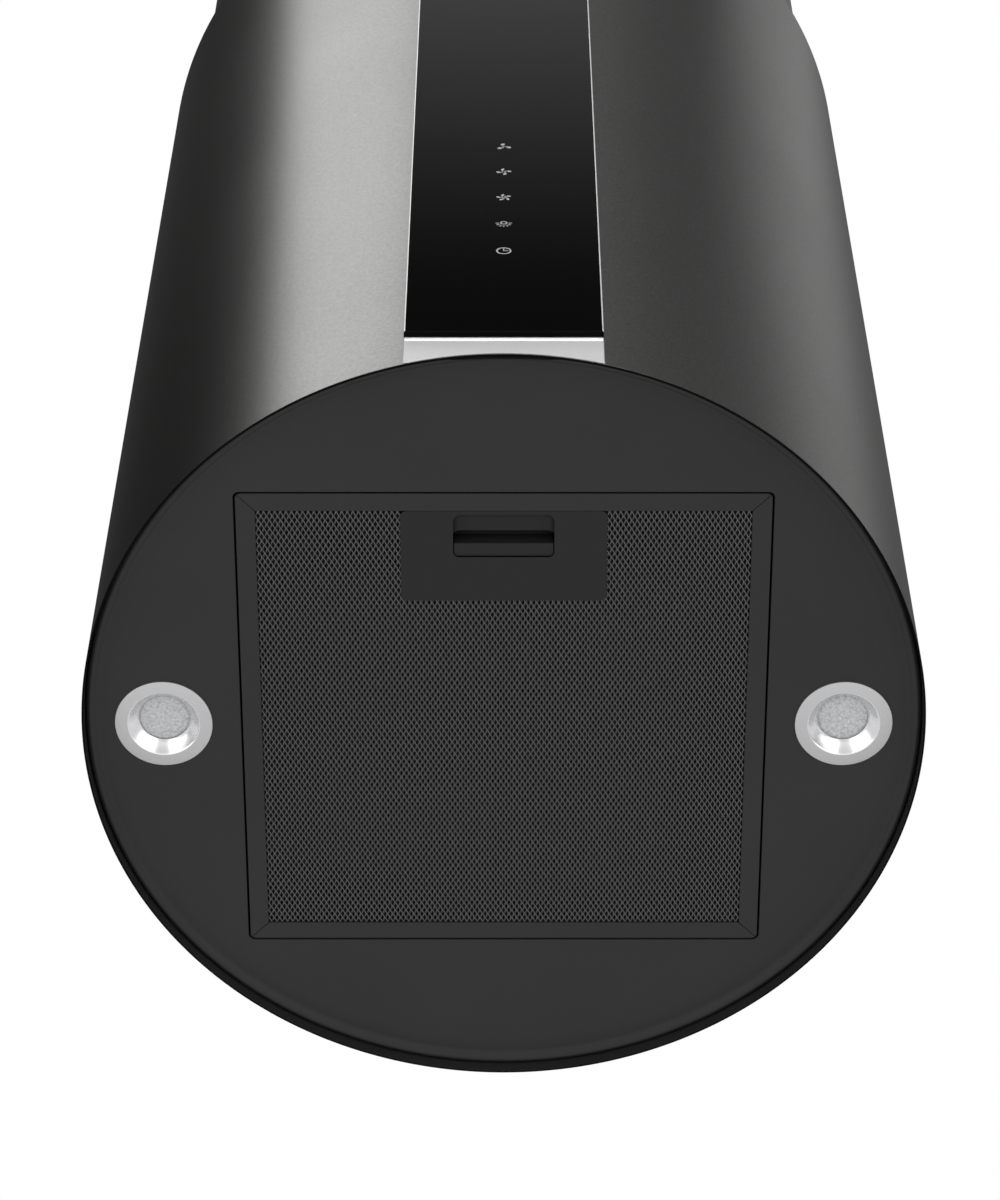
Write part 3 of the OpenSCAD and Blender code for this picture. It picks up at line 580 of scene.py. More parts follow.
def fan_mark(blades):
    """A hub with so many swept blades, each a short arm and a paddle."""
    shapes = [(16, 0, 0, 0.0010, 0.0010, 0, 0)]
    for i in range(blades):
        a = math.radians(125 + i * 360 / blades)
        shapes.append((16, 0.0013 * math.cos(a), 0.0013 * math.sin(a), 0.0026, 0.0007,
                       math.degrees(a), 0))
        b = a - math.radians(22)
        shapes.append((20, 0.0026 * math.cos(b), 0.0026 * math.sin(b), 0.0026,
                       0.0050 / blades ** 0.8, math.degrees(a) - 62, 0))
    return shapes


def ray_mark():
    """A round lamp with seven short rays under it."""
    shapes = [(28, 0, 0.0010, 0.0036, 0.0036, 0, 0.0007)]
    for i in range(7):
        a = math.radians(180 + i * 180 / 6)
        shapes.append((4, 0.0031 * math.cos(a), 0.0007 + 0.0034 * math.sin(a), 0.0016, 0.0006,
                       math.degrees(a), 0))
    return shapes


key_marks = (
    ("key_timer", [(40, 0, 0, 0.0073, 0.0073, 0, 0.0008), (4, 0, 0.0012, 0.0006, 0.0026, 0, 0),
                   (4, 0.0010, 0, 0.0024, 0.0006, 0, 0)]),
    ("key_lamps", ray_mark()),
    ("key_fan_high", fan_mark(5)),
    ("key_fan_middle", fan_mark(4)),
    ("key_fan_low", fan_mark(3)),
)
# Ceramic ink, screen printed and fired on the glass: a soft matt white
white_ink, place = new_finish("fired_white_ink")
grain = add_node(white_ink, "ShaderNodeTexNoise", {"Vector": place, "Scale": 3000.0})
ink_tone = add_node(
    white_ink, "ShaderNodeValToRGB", {"Fac": grain.outputs["Fac"]}, ("#8f8f8f", "#b4b4b4")
)
show(white_ink, add_node(
    white_ink, "ShaderNodeBsdfPrincipled",
    {"Base Color": ink_tone.outputs["Color"], "Roughness": 0.6},
))
first_key, key_pitch, ink_t = 0.1108, 0.03025, 0.00006
for place_in_row, (name, shapes) in enumerate(key_marks):
    mark = flat_mark(name, shapes)
    bpy.ops.object.mode_set(mode="EDIT")
    bpy.ops.mesh.select_all(action="SELECT")
    bpy.ops.transform.translate(
        value=(0, glass_low.y - ink_t, rim + first_key + key_pitch * place_in_row)
    )
    bpy.ops.object.mode_set(mode="OBJECT")
    mark.data.materials.append(white_ink)
    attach(mark, "hood")


# ---- Trim under the glass ----
# A die-cast zinc strip as wide as the glass, plated with satin chrome. Its edges are chamfered and
# its bottom follows the round rim.
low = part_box("panel_trim")[0]
top, trim_t, band, lean = glass_low.z - 0.0002, 0.0008, 0.0022, 0.0008
trim = open_box(
    "satin_chrome_trim", (glass_low.x, low.y, low.z), (glass_high.x, low.y + trim_t, top)
)
bpy.ops.mesh.bisect(plane_co=(0, 0, top - band), plane_no=(0, 0, 1), threshold=1e-6)
bpy.ops.object.mode_set(mode="OBJECT")


def apply_between(piece, other, operation):
    """Cuts a piece by another one, or keeps what they share, and removes the other one."""
    add_modifier(piece, "BOOLEAN", operation=operation, object=other, solver="EXACT")
    bpy.data.objects.remove(other)


# Its bottom is cut along the sloping lip, which is part of a leaning round bar
slope = math.radians(63)
lean_r = 0.1995 / math.sin(slope)
bpy.ops.object.select_all(action="DESELECT")
bpy.ops.mesh.primitive_cylinder_add(
    vertices=512, radius=lean_r, depth=0.8, rotation=(slope - math.pi / 2, 0, 0),
    location=(0, lean_r / math.sin(slope) - 0.1998, rim + 0.0012)
)
apply_between(trim, bpy.context.object, "DIFFERENCE")
# its top band leans forward
select_edges(trim, lambda a, b: max(a.y, b.y) < low.y + 0.0001 and min(a.z, b.z) > top - 0.0001)
bpy.ops.transform.translate(value=(0, -lean, 0))
bpy.ops.object.mode_set(mode="OBJECT")
# and its two upright front edges are chamfered
select_edges(trim, lambda a, b: abs(a.x - b.x) < 1e-5 and abs(a.z - b.z) > 0.001
             and max(a.y, b.y) < low.y + 0.0002)
bpy.ops.mesh.bevel(offset=0.0004, segments=1, affect="EDGES")
bpy.ops.object.mode_set(mode="OBJECT")
add_modifier(trim, "BEVEL", width=0.00012, segments=2, limit_method="ANGLE",
             angle_limit=math.radians(50))
smooth(trim, 3)
# Satin chrome over a blasted casting: bright and neutral, with reflections spread wide
satin_chrome, place = new_finish("satin_chrome")
blast = add_node(satin_chrome, "ShaderNodeTexNoise", {"Vector": place, "Scale": 1600.0, "Detail": 2.0})
blast_rough = add_node(
    satin_chrome, "ShaderNodeMapRange",
    {"Value": blast.outputs["Fac"], "To Min": 0.36, "To Max": 0.48},
)
blast_bump = add_node(
    satin_chrome, "ShaderNodeBump",
    {"Strength": 0.12, "Distance": 0.00005, "Height": blast.outputs["Fac"]},
)
chrome_tone = add_node(
    satin_chrome, "ShaderNodeValToRGB", {"Fac": blast.outputs["Fac"]}, ("#d3d3d4", "#e4e4e5")
)
show(satin_chrome, add_node(
    satin_chrome, "ShaderNodeBsdfPrincipled",
    {"Base Color": chrome_tone.outputs["Color"], "Metallic": 0.55,
     "Roughness": blast_rough.outputs["Result"], "Normal": blast_bump.outputs["Normal"]},
))
trim.data.materials.append(satin_chrome)
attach(trim, "hood")
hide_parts("panel_trim")


# ---- Lamps ----
# Two LED spotlights snap into the base plate. Each has a flat satin bezel, a polished bowl as its
# reflector and a pressed glass lens, with an aluminium heat sink and two spring clips behind.
bezel_face, bowl_r, bowl_deep = face - 0.001, 0.01722, 0.0059
bezel_outline = [
    (0.0176, bezel_face), (0.0228, bezel_face), (0.02315, bezel_face + 0.0002),
    (0.02325, bezel_face + 0.0005), (0.02325, bezel_face + 0.001), (0.0206, bezel_face + 0.001),
    (0.0206, bezel_face + 0.014), (0.0126, bezel_face + 0.014), (0.0126, bezel_face + 0.0061),
    (0.0120, bezel_face + 0.0058), (0.0121, bezel_face + 0.0056), (0.0133, bezel_face + 0.0044),
    (0.0145, bezel_face + 0.0031), (0.0156, bezel_face + 0.0018), (0.0166, bezel_face + 0.0005),
    (0.0169, bezel_face + 0.0001), (0.01705, bezel_face), (0.0173, bezel_face - 0.0001),
]
# Zinc casting with a satin nickel finish: pale grey metal that mirrors only as a soft glow
satin_nickel, place = new_finish("satin_nickel_plating")
nickel_grain = add_node(
    satin_nickel, "ShaderNodeTexNoise", {"Vector": place, "Scale": 1400.0, "Detail": 2.0}
)
nickel_rough = add_node(
    satin_nickel, "ShaderNodeMapRange",
    {"Value": nickel_grain.outputs["Fac"], "To Min": 0.42, "To Max": 0.55},
)
nickel_tone = add_node(
    satin_nickel, "ShaderNodeValToRGB", {"Fac": nickel_grain.outputs["Fac"]}, ("#bdbdbe", "#cdcdce")
)
show(satin_nickel, add_node(
    satin_nickel, "ShaderNodeBsdfPrincipled",
    {"Base Color": nickel_tone.outputs["Color"], "Metallic": 1.0,
     "Roughness": nickel_rough.outputs["Result"]},
))
# Vacuum metallised reflector: a clear mirror with very fine ripples from the moulding
mirror_bowl, place = new_finish("metallised_reflector")
ripple = add_node(mirror_bowl, "ShaderNodeTexNoise", {"Vector": place, "Scale": 260.0, "Detail": 1.0})
ripple_bump = add_node(
    mirror_bowl, "ShaderNodeBump",
    {"Strength": 0.1, "Distance": 0.0002, "Height": ripple.outputs["Fac"]},
)
ripple_rough = add_node(
    mirror_bowl, "ShaderNodeMapRange",
    {"Value": ripple.outputs["Fac"], "To Min": 0.2, "To Max": 0.28},
)
show(mirror_bowl, add_node(
    mirror_bowl, "ShaderNodeBsdfPrincipled",
    {"Base Color": linear("#e9e9ea"), "Metallic": 1.0, "Roughness": ripple_rough.outputs["Result"],
     "Normal": ripple_bump.outputs["Normal"]},
))
# Pressed borosilicate glass, pebbled on the inside so that the LED's light is spread
pebbled_glass, place = new_finish("pebbled_lamp_glass")
pebbles = add_node(
    pebbled_glass, "ShaderNodeTexVoronoi", {"Vector": place, "Scale": 900.0}, feature="SMOOTH_F1"
)
# the colour is pale in each pebble's middle and grey at its rim: painted glints and shade of the
# pebbling
pebble_glint_tone = add_node(
    pebbled_glass, "ShaderNodeValToRGB", {"Fac": pebbles.outputs["Distance"]}, ("#dedee0", "#9c9da1")
)
pebble_bump = add_node(
    pebbled_glass, "ShaderNodeBump",
    {"Strength": 0.5, "Distance": 0.0003, "Height": pebbles.outputs["Distance"]},
)
show(pebbled_glass, add_node(
    pebbled_glass, "ShaderNodeBsdfPrincipled",
    {"Base Color": pebble_glint_tone.outputs["Color"], "Roughness": 0.16, "IOR": 1.5,
     "Transmission Weight": 0.15, "Normal": pebble_bump.outputs["Normal"]},
))
for side, word in ((-1, "left"), (1, "right")):
    bezel = turned(f"lamp_bezel_cast_{word}", bezel_outline, sides=96, x=side * lamp_x)
    smooth(bezel, 35)
    bezel.data.materials.append(satin_nickel)
    bezel.data.materials.append(mirror_bowl)
    for patch in bezel.data.polygons:
        away = math.hypot(patch.center.x - side * lamp_x, patch.center.y)
        in_bowl = away < bowl_r and patch.center.z < bezel_face + bowl_deep
        patch.material_index = 1 if in_bowl else 0
    lens = turned(f"lamp_lens_pressed_{word}", [
        (0.0002, bezel_face + 0.0057), (0.006, bezel_face + 0.0058), (0.0105, bezel_face + 0.0061),
        (0.0124, bezel_face + 0.0066), (0.0124, bezel_face + 0.0085), (0.0002, bezel_face + 0.0085),
    ], sides=96, x=side * lamp_x)
    smooth(lens, 35)
    lens.data.materials.append(pebbled_glass)
    for piece, node, slot in ((bezel, "lamp_bezel_", "lamp_metal"), (lens, "lamp_lens_", "lamp_glass")):
        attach(piece, "hood")
        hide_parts(node + word)

# White solder mask on an aluminium board: matt, with a faint warm mottling
led_board, place = new_finish("led_board_white")
mask_grain = add_node(led_board, "ShaderNodeTexNoise", {"Vector": place, "Scale": 900.0})
mask_tone = add_node(
    led_board, "ShaderNodeValToRGB", {"Fac": mask_grain.outputs["Fac"]}, ("#d9d6c4", "#f2f1ea")
)
show(led_board, add_node(
    led_board, "ShaderNodeBsdfPrincipled",
    {"Base Color": mask_tone.outputs["Color"], "Roughness": 0.5},
))
give_finish(led_board, "lamp_led_left", "lamp_led_right")
# Die-cast aluminium, anodised grey: fine cast grain, soft sheen on the fins
cast_aluminium, place = new_finish("anodised_cast_aluminium")
cast_grain = add_node(
    cast_aluminium, "ShaderNodeTexNoise", {"Vector": place, "Scale": 800.0, "Detail": 3.0}
)
cast_tone = add_node(
    cast_aluminium, "ShaderNodeValToRGB", {"Fac": cast_grain.outputs["Fac"]}, ("#7c7e80", "#9a9c9e")
)
cast_bump = add_node(
    cast_aluminium, "ShaderNodeBump",
    {"Strength": 0.3, "Distance": 0.0001, "Height": cast_grain.outputs["Fac"]},
)
show(cast_aluminium, add_node(
    cast_aluminium, "ShaderNodeBsdfPrincipled",
    {"Base Color": cast_tone.outputs["Color"], "Metallic": 1.0, "Roughness": 0.5,
     "Normal": cast_bump.outputs["Normal"]},
))
give_finish(cast_aluminium, "lamp_housing_left", "lamp_housing_right")
# Hardened spring steel, tumbled: a bluish grey with short bright scuffs
spring_steel, place = new_finish("spring_steel")
scuffs = add_node(spring_steel, "ShaderNodeTexNoise", {"Vector": place, "Scale": 1200.0, "Detail": 4.0})
scuff_tone = add_node(
    spring_steel, "ShaderNodeValToRGB", {"Fac": scuffs.outputs["Fac"]}, ("#7d8287", "#b4b8bc")
)
show(spring_steel, add_node(
    spring_steel, "ShaderNodeBsdfPrincipled",
    {"Base Color": scuff_tone.outputs["Color"], "Metallic": 1.0, "Roughness": 0.28},
))
give_finish(spring_steel, "lamp_clips_left", "lamp_clips_right", "touch_springs", "latch_spring")


# ---- Panel carrier and touch board ----
# The glass is stuck to a black steel channel that is bolted into the slot. A circuit board behind
# it feels a finger through the glass, with a small spring under each key.
give_finish(powder_coat, "panel_carrier")
# Green solder mask on glass fibre: smooth and slightly glossy, with the weave just showing
solder_mask, place = new_finish("green_solder_mask")
fibre = add_node(
    solder_mask, "ShaderNodeTexWave",
    {"Vector": place, "Scale": 260.0, "Distortion": 1.0}, wave_type="BANDS", bands_direction="DIAGONAL",
)
mask_green = add_node(
    solder_mask, "ShaderNodeValToRGB", {"Fac": fibre.outputs["Fac"]}, ("#123a22", "#1b5230")
)
show(solder_mask, add_node(
    solder_mask, "ShaderNodeBsdfPrincipled",
    {"Base Color": mask_green.outputs["Color"], "Roughness": 0.3, "IOR": 1.5},
))
give_finish(solder_mask, "touch_board", "power_board")


# ---- Blower deck and blower ----
# A galvanised deck carries the blower: a spiral housing of galvanised sheet with an inlet on both
# sides, and a motor in rubber bushes whose shaft turns a squirrel-cage impeller.
give_finish(
    galvanised, "blower_deck", "scroll_wrapper", "scroll_side_left", "scroll_side_right",
    "inlet_ring_left", "inlet_ring_right", "motor_bracket",
)
# Cathodic dip paint on the motor's casing: thin, even and black grey with a low sheen
motor_paint, place = new_finish("motor_dip_paint")
drips = add_node(motor_paint, "ShaderNodeTexNoise", {"Vector": place, "Scale": 60.0, "Detail": 5.0})
drip_tone = add_node(
    motor_paint, "ShaderNodeValToRGB", {"Fac": drips.outputs["Fac"]}, ("#2c2e30", "#3b3d40")
)
drip_bump = add_node(
    motor_paint, "ShaderNodeBump",
    {"Strength": 0.15, "Distance": 0.0002, "Height": drips.outputs["Fac"]},
)
show(motor_paint, add_node(
    motor_paint, "ShaderNodeBsdfPrincipled",
    {"Base Color": drip_tone.outputs["Color"], "Roughness": 0.42, "IOR": 1.5,
     "Normal": drip_bump.outputs["Normal"]},
))
give_finish(motor_paint, "motor_housing")
# Rolled aluminium-zinc sheet of the impeller, punched and curled: a cool grey with rolling streaks
impeller_metal, place = new_finish("rolled_aluzinc")
stretch = add_node(
    impeller_metal, "ShaderNodeMapping", {"Vector": place, "Scale": (0.05, 1.0, 1.0)}
)
streaks = add_node(
    impeller_metal, "ShaderNodeTexNoise",
    {"Vector": stretch.outputs["Vector"], "Scale": 500.0, "Detail": 3.0},
)
streak_tone = add_node(
    impeller_metal, "ShaderNodeValToRGB", {"Fac": streaks.outputs["Fac"]}, ("#868b8f", "#aeb3b6")
)
show(impeller_metal, add_node(
    impeller_metal, "ShaderNodeBsdfPrincipled",
    {"Base Color": streak_tone.outputs["Color"], "Metallic": 1.0, "Roughness": 0.36},
))
give_finish(impeller_metal, "impeller")
give_finish(spring_steel, "motor_shaft")
# Vulcanised rubber: dull black with a faint dusty bloom
rubber, place = new_finish("vulcanised_rubber")
bloom_dust = add_node(rubber, "ShaderNodeTexNoise", {"Vector": place, "Scale": 300.0, "Detail": 4.0})
rubber_tone = add_node(
    rubber, "ShaderNodeValToRGB", {"Fac": bloom_dust.outputs["Fac"]}, ("#131313", "#252525")
)
show(rubber, add_node(
    rubber, "ShaderNodeBsdfPrincipled", {"Base Color": rubber_tone.outputs["Color"], "Roughness": 0.8},
))
give_finish(rubber, "motor_bushes")
# Injection-moulded polypropylene, black and spark-eroded: an even, fine matt texture
black_plastic, place = new_finish("moulded_black_polypropylene")
eroded = add_node(black_plastic, "ShaderNodeTexNoise", {"Vector": place, "Scale": 2200.0, "Detail": 2.0})
eroded_tone = add_node(
    black_plastic, "ShaderNodeValToRGB", {"Fac": eroded.outputs["Fac"]}, ("#19191a", "#222223")
)
eroded_bump = add_node(
    black_plastic, "ShaderNodeBump",
    {"Strength": 0.25, "Distance": 0.00005, "Height": eroded.outputs["Fac"]},
)
show(black_plastic, add_node(
    black_plastic, "ShaderNodeBsdfPrincipled",
    {"Base Color": eroded_tone.outputs["Color"], "Roughness": 0.5, "IOR": 1.49,
     "Specular IOR Level": 0.22, "Normal": eroded_bump.outputs["Normal"]},
))
give_finish(black_plastic, "outlet_collar", "flap_front", "flap_rear", "cable_gland")


# ---- Electrics ----
# The control box, its lid and the run capacitor's can are moulded in flame-retardant plastic, and
# they hang under the blower deck.

# Injection-moulded ABS: a pale warm grey with soft flow marks and a fine grain
grey_plastic, place = new_finish("moulded_grey_abs")
flow = add_node(grey_plastic, "ShaderNodeTexNoise", {"Vector": place, "Scale": 25.0, "Detail": 3.0})
flow_tone = add_node(
    grey_plastic, "ShaderNodeValToRGB", {"Fac": flow.outputs["Fac"]}, ("#bdbdb8", "#cfcfca")
)
skin_grain = add_node(grey_plastic, "ShaderNodeTexNoise", {"Vector": place, "Scale": 1500.0})
skin_bump = add_node(
    grey_plastic, "ShaderNodeBump",
    {"Strength": 0.2, "Distance": 0.00005, "Height": skin_grain.outputs["Fac"]},
)
show(grey_plastic, add_node(
    grey_plastic, "ShaderNodeBsdfPrincipled",
    {"Base Color": flow_tone.outputs["Color"], "Roughness": 0.45, "IOR": 1.54,
     "Normal": skin_bump.outputs["Normal"]},
))
give_finish(grey_plastic, "control_box", "control_box_lid", "run_capacitor")


# ---- Filter frame ----
# Four bars folded from black painted sheet steel and mitred at the corners. The frame lies flush
# with the base plate, with a fine gap all round.
low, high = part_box("filter_frame")
bar_w, play, mitre_gap = 0.0094, 0.00025, 0.00009
bar = open_box("filter_frame_bars", low, (high.x, low.y + bar_w, high.z))
for side in (-1, 1):
    bpy.ops.mesh.select_all(action="SELECT")
    bpy.ops.mesh.bisect(
        plane_co=(side * (high.x - mitre_gap), low.y, 0), plane_no=(side, 1, 0), use_fill=True,
        clear_outer=True, threshold=1e-6
    )
bpy.ops.object.mode_set(mode="OBJECT")
bars = [bar]
for quarter in range(1, 4):
    pick(bar)
    bpy.ops.object.duplicate()
    copy = bpy.context.object
    bpy.ops.object.mode_set(mode="EDIT")
    bpy.ops.mesh.select_all(action="SELECT")
    bpy.ops.transform.rotate(
        value=math.radians(90 * quarter), orient_axis="Z", center_override=(0, 0, 0)
    )
    bpy.ops.object.mode_set(mode="OBJECT")
    bars.append(copy)
pick(*bars)
bpy.ops.object.join()
# its outside is trimmed for the play, with its corners rounded to clear those of the opening
out = high.x - play
corners = open_box("corner_shape", (-out, -out, low.z - 0.05), (out, out, low.z + 0.05))
select_edges(corners, lambda a, b: abs(a.z - b.z) > 0.01)
bpy.ops.mesh.bevel(offset=0.0025, segments=6, affect="EDGES")
bpy.ops.object.mode_set(mode="OBJECT")
apply_between(bar, corners, "INTERSECT")
add_modifier(bar, "BEVEL", width=0.0006, segments=3, limit_method="ANGLE",
             angle_limit=math.radians(40))
smooth(bar, 40)
add_modifier(bar, "WEIGHTED_NORMAL", keep_sharp=True)
bar.data.materials.append(powder_coat)
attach(bar, "grease_filter")
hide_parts("filter_frame")


# ---- Filter mesh ----
# Expanded aluminium on both faces, slit and stretched so that its strands stand a little on edge,
# with crimped aluminium wool between them. The sheets are coated black.
def expanded_sheet(name, across, along, low, high, front):
    """A sheet of staggered diamond holes; front is -1 where its good side looks down."""
    hole_across, hole_along = 0.68, 0.74
    bpy.ops.object.select_all(action="DESELECT")
    bpy.ops.mesh.primitive_circle_add(vertices=4, radius=1, location=(0, 0, 0))
    cell = open_new(name)
    bpy.ops.transform.resize(value=(across / 2, along / 2, 1), center_override=(0, 0, 0))
    bpy.ops.mesh.extrude_region_move()
    bpy.ops.transform.resize(value=(hole_across, hole_along, 1), center_override=(0, 0, 0))
    # two of the hole's corners are lifted, so that its strands lean
    select_edges(cell, lambda a, b: False)
    bpy.ops.mesh.select_mode(type="VERT")
    for axis, low_end, high_end, lift in ((1, 0.1 * along, 0.4 * along, 0.1),
                                          (0, -0.4 * across, -0.1 * across, 0.12)):
        bpy.ops.object.mode_set(mode="OBJECT")
        for point in cell.data.vertices:
            point.select = low_end < point.co[axis] < high_end
        bpy.ops.object.mode_set(mode="EDIT")
        bpy.ops.transform.translate(value=(0, 0, front * lift * along))
    # and its inner edge is drawn on into the sheet
    select_edges(cell, lambda a, b: max(abs(a.y), abs(b.y)) < 0.4 * along
                 and max(abs(a.x), abs(b.x)) < 0.4 * across)
    bpy.ops.mesh.extrude_region_move(
        TRANSFORM_OT_translate={"value": (0, 0, -front * 0.22 * along)}
    )
    bpy.ops.transform.resize(value=(0.98, 0.98, 1), center_override=(0, 0, 0))
    point_outwards()
    turn_over(cell.data.polygons[0].normal.z * front < 0)
    columns = int((high.x - low.x) / across)
    rows = int((high.y - low.y) / along)
    rows_made = []
    for stagger in (0, 1):
        pick(cell)
        bpy.ops.object.duplicate()
        sheet = bpy.context.object
        bpy.ops.object.mode_set(mode="EDIT")
        bpy.ops.mesh.select_all(action="SELECT")
        bpy.ops.transform.translate(value=(
            -(columns - 1 - stagger) * across / 2, -(rows - 1 - stagger) * along / 2,
            low.z if front < 0 else high.z))
        bpy.ops.object.mode_set(mode="OBJECT")
        add_modifier(sheet, "ARRAY", count=columns - stagger, use_relative_offset=False,
                     use_constant_offset=True, constant_offset_displace=(across, 0, 0))
        add_modifier(sheet, "ARRAY", count=rows - stagger, use_relative_offset=False,
                     use_constant_offset=True, constant_offset_displace=(0, along, 0))
        rows_made.append(sheet)
    bpy.data.objects.remove(cell)
    pick(*rows_made)
    bpy.ops.object.join()
    sheet = bpy.context.object
    sheet.name = name
    return sheet


# Black-coated aluminium: the strands' high sides catch the light, and the holes show the wool's painted
# shade
coated_mesh, place = new_finish("black_coated_aluminium_mesh")
strand = add_node(coated_mesh, "ShaderNodeTexNoise", {"Vector": place, "Scale": 500.0, "Detail": 2.0})
strand_tone = add_node(
    coated_mesh, "ShaderNodeValToRGB", {"Fac": strand.outputs["Fac"]}, ("#5a5a5b", "#727273")
)
show(coated_mesh, add_node(
    coated_mesh, "ShaderNodeBsdfPrincipled",
    {"Base Color": strand_tone.outputs["Color"], "Metallic": 0.85, "Roughness": 0.4},
))
handle_low, handle_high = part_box("handle_plate")
for name, node, across, along, front in (
    ("expanded_mesh_face", "filter_mesh_face", 0.00258, 0.0044, -1),
    ("expanded_mesh_back", "filter_mesh_back", 0.00516, 0.0088, 1),
):
    low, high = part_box(node)
    sheet = expanded_sheet(name, across, along, low, high, front)
    # it is cut out where the handle sits
    select_faces(sheet, lambda c, n: abs(c.x) < 0.0475 and c.y < handle_high.y - 0.0005)
    bpy.ops.mesh.delete(type="FACE")
    bpy.ops.object.mode_set(mode="OBJECT")
    sheet.data.materials.append(coated_mesh)
    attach(sheet, "grease_filter")
    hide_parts(node)
# Crimped wool of aluminium wire, painted near-black as shade, so that it shows dark through the holes
pack_painted_shade, place = new_finish("aluminium_wool_painted_shade")
crimp = add_node(pack_painted_shade, "ShaderNodeTexVoronoi", {"Vector": place, "Scale": 700.0})
wool_shade_tone = add_node(
    pack_painted_shade, "ShaderNodeValToRGB", {"Fac": crimp.outputs["Distance"]}, ("#030303", "#090909")
)
wool_bump = add_node(
    pack_painted_shade, "ShaderNodeBump", {"Strength": 0.8, "Distance": 0.0005, "Height": crimp.outputs["Distance"]}
)
show(pack_painted_shade, add_node(
    pack_painted_shade, "ShaderNodeBsdfPrincipled",
    {"Base Color": wool_shade_tone.outputs["Color"], "Metallic": 0.6, "Roughness": 0.5,
     "Normal": wool_bump.outputs["Normal"]},
))
give_finish(pack_painted_shade, "filter_mesh_pack")


# ---- Filter handle ----
# A black moulded plate with a finger pocket. The pocket's front is a soft scoop, and behind the
# finger gap the latch shows as a narrow strip that is pulled towards the back.
pocket_x, pocket_front, pocket_back = 0.0235, -0.1128, -0.0905
plate_w, plate_d, plate_t = 0.096, 0.0477, 0.0005
skin, plate_front = handle_low.z, handle_low.y
# the mouldings behind the plate: how far forward and down they reach, and half the cup's width
mould_front, mould_z, cup_x, tongue_z = -0.1144, skin + 0.0008, 0.0257, rim + 0.0136
bpy.ops.object.select_all(action="DESELECT")
bpy.ops.mesh.primitive_plane_add(size=1, location=(0, 0, 0))
handle = open_new("handle_moulding")
bpy.ops.transform.resize(value=(plate_w, plate_d, 1))
bpy.ops.transform.translate(value=(0, plate_front + plate_d / 2, skin))
bpy.ops.mesh.bevel(offset=0.003, segments=6, affect="VERTICES")
bpy.ops.mesh.select_all(action="DESELECT")
bpy.ops.mesh.primitive_plane_add(size=1, location=(0, 0, skin))
bpy.ops.transform.resize(value=(2 * pocket_x, pocket_back - pocket_front, 1))
bpy.ops.transform.translate(value=(0, (pocket_front + pocket_back) / 2, 0))
bpy.ops.mesh.bevel(offset=0.0026, segments=6, affect="VERTICES")
bpy.ops.mesh.select_all(action="SELECT")
bpy.ops.mesh.delete(type="ONLY_FACE")
bpy.ops.mesh.select_all(action="SELECT")
bpy.ops.mesh.fill(use_beauty=True)
bpy.ops.mesh.select_all(action="SELECT")
bpy.ops.mesh.extrude_region_move(TRANSFORM_OT_translate={"value": (0, 0, plate_t)})
point_outwards()
add_modifier(handle, "BEVEL", width=0.0002, segments=3, limit_method="ANGLE",
             angle_limit=math.radians(40))


def block(name, low_corner, high_corner, edge, segments=3):
    """A moulded block between two corners, with its edges rounded."""
    piece = open_box(name, low_corner, high_corner)
    bpy.ops.mesh.bevel(offset=edge, segments=segments, affect="EDGES")
    bpy.ops.object.mode_set(mode="OBJECT")
    return piece


scoop = block(
    "handle_scoop", (-0.0246, -0.1139, skin + 0.0004), (0.0246, -0.1026, skin + 0.0056), 0.0002
)
scoop_depth = 0.0042
apply_between(scoop, block(
    "scoop_hollow", (-pocket_x, pocket_front, skin - scoop_depth),
    (pocket_x, pocket_front + 0.02, skin + scoop_depth), 0.0041, segments=10,
), "DIFFERENCE")
# a cup behind the plate closes the pocket, with a slot in its front wall for the latch's tongue
cup = block("handle_cup", (-cup_x, mould_front, mould_z), (cup_x, -0.0791, handle_high.z), 0.0004)
for hollow, low_corner, high_corner, edge in (
    ("cup_hollow", (0.0012 - cup_x, mould_front + 0.0007, skin - 0.002),
     (cup_x - 0.0012, -0.0807, handle_high.z - 0.0016), 0.0003),
    ("tongue_slot", (-0.0085, -0.12, tongue_z - 0.0003),
     (0.0085, -0.1115, tongue_z + 0.0077), 0.0002),
):
    apply_between(cup, block(hollow, low_corner, high_corner, edge), "DIFFERENCE")
# and a shallow box on either side of it stiffens the plate
side_w = 0.018
sides = [
    block("handle_side", (x, mould_front, mould_z), (x + side_w, -0.0722, skin + 0.007), 0.0006)
    for x in (-0.044, 0.026)
]
pick(handle, scoop, cup, *sides)
bpy.ops.object.join()
smooth(handle, 35)
add_modifier(handle, "WEIGHTED_NORMAL", keep_sharp=True)
handle.data.materials.append(black_plastic)
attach(handle, "grease_filter")
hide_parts("handle_plate")


# ---- Latch ----
# One black moulding: the strip that a finger pulls, hollow at its back for the spring, and over the
# pocket a flat arm that ends in the tongue, which snaps in at the opening's front edge.
latch_low, latch_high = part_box("latch_slider")
strip_z, top_z, arm_t = skin + 0.0007, latch_high.z, 0.002
tongue_x, heel_y = 0.008, latch_low.y + 0.0155
latch = block("latch_moulding", (-0.0232, -0.0975, strip_z), (0.0232, -0.0907, top_z), 0.0003)
apply_between(latch, block(
    "latch_hollow", (-0.0215, -0.0961, strip_z + 0.0014), (0.0215, -0.08, skin + 0.0094), 0.0002
), "DIFFERENCE")
arm = block("latch_arm", (-0.0228, heel_y - arm_t, top_z - arm_t), (0.0228, -0.0965, top_z), 0.0002)
heel = block("latch_heel", (-tongue_x, heel_y - arm_t, tongue_z), (tongue_x, heel_y, top_z), 0.0002)
tongue = block(
    "latch_tongue", (-tongue_x, latch_low.y, tongue_z), (tongue_x, heel_y, tongue_z + 0.0022), 0.0003
)
pick(latch, arm, heel, tongue)
bpy.ops.object.join()
smooth(latch, 35)
latch.data.materials.append(black_plastic)
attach(latch, "filter_latch")
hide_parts("latch_slider")


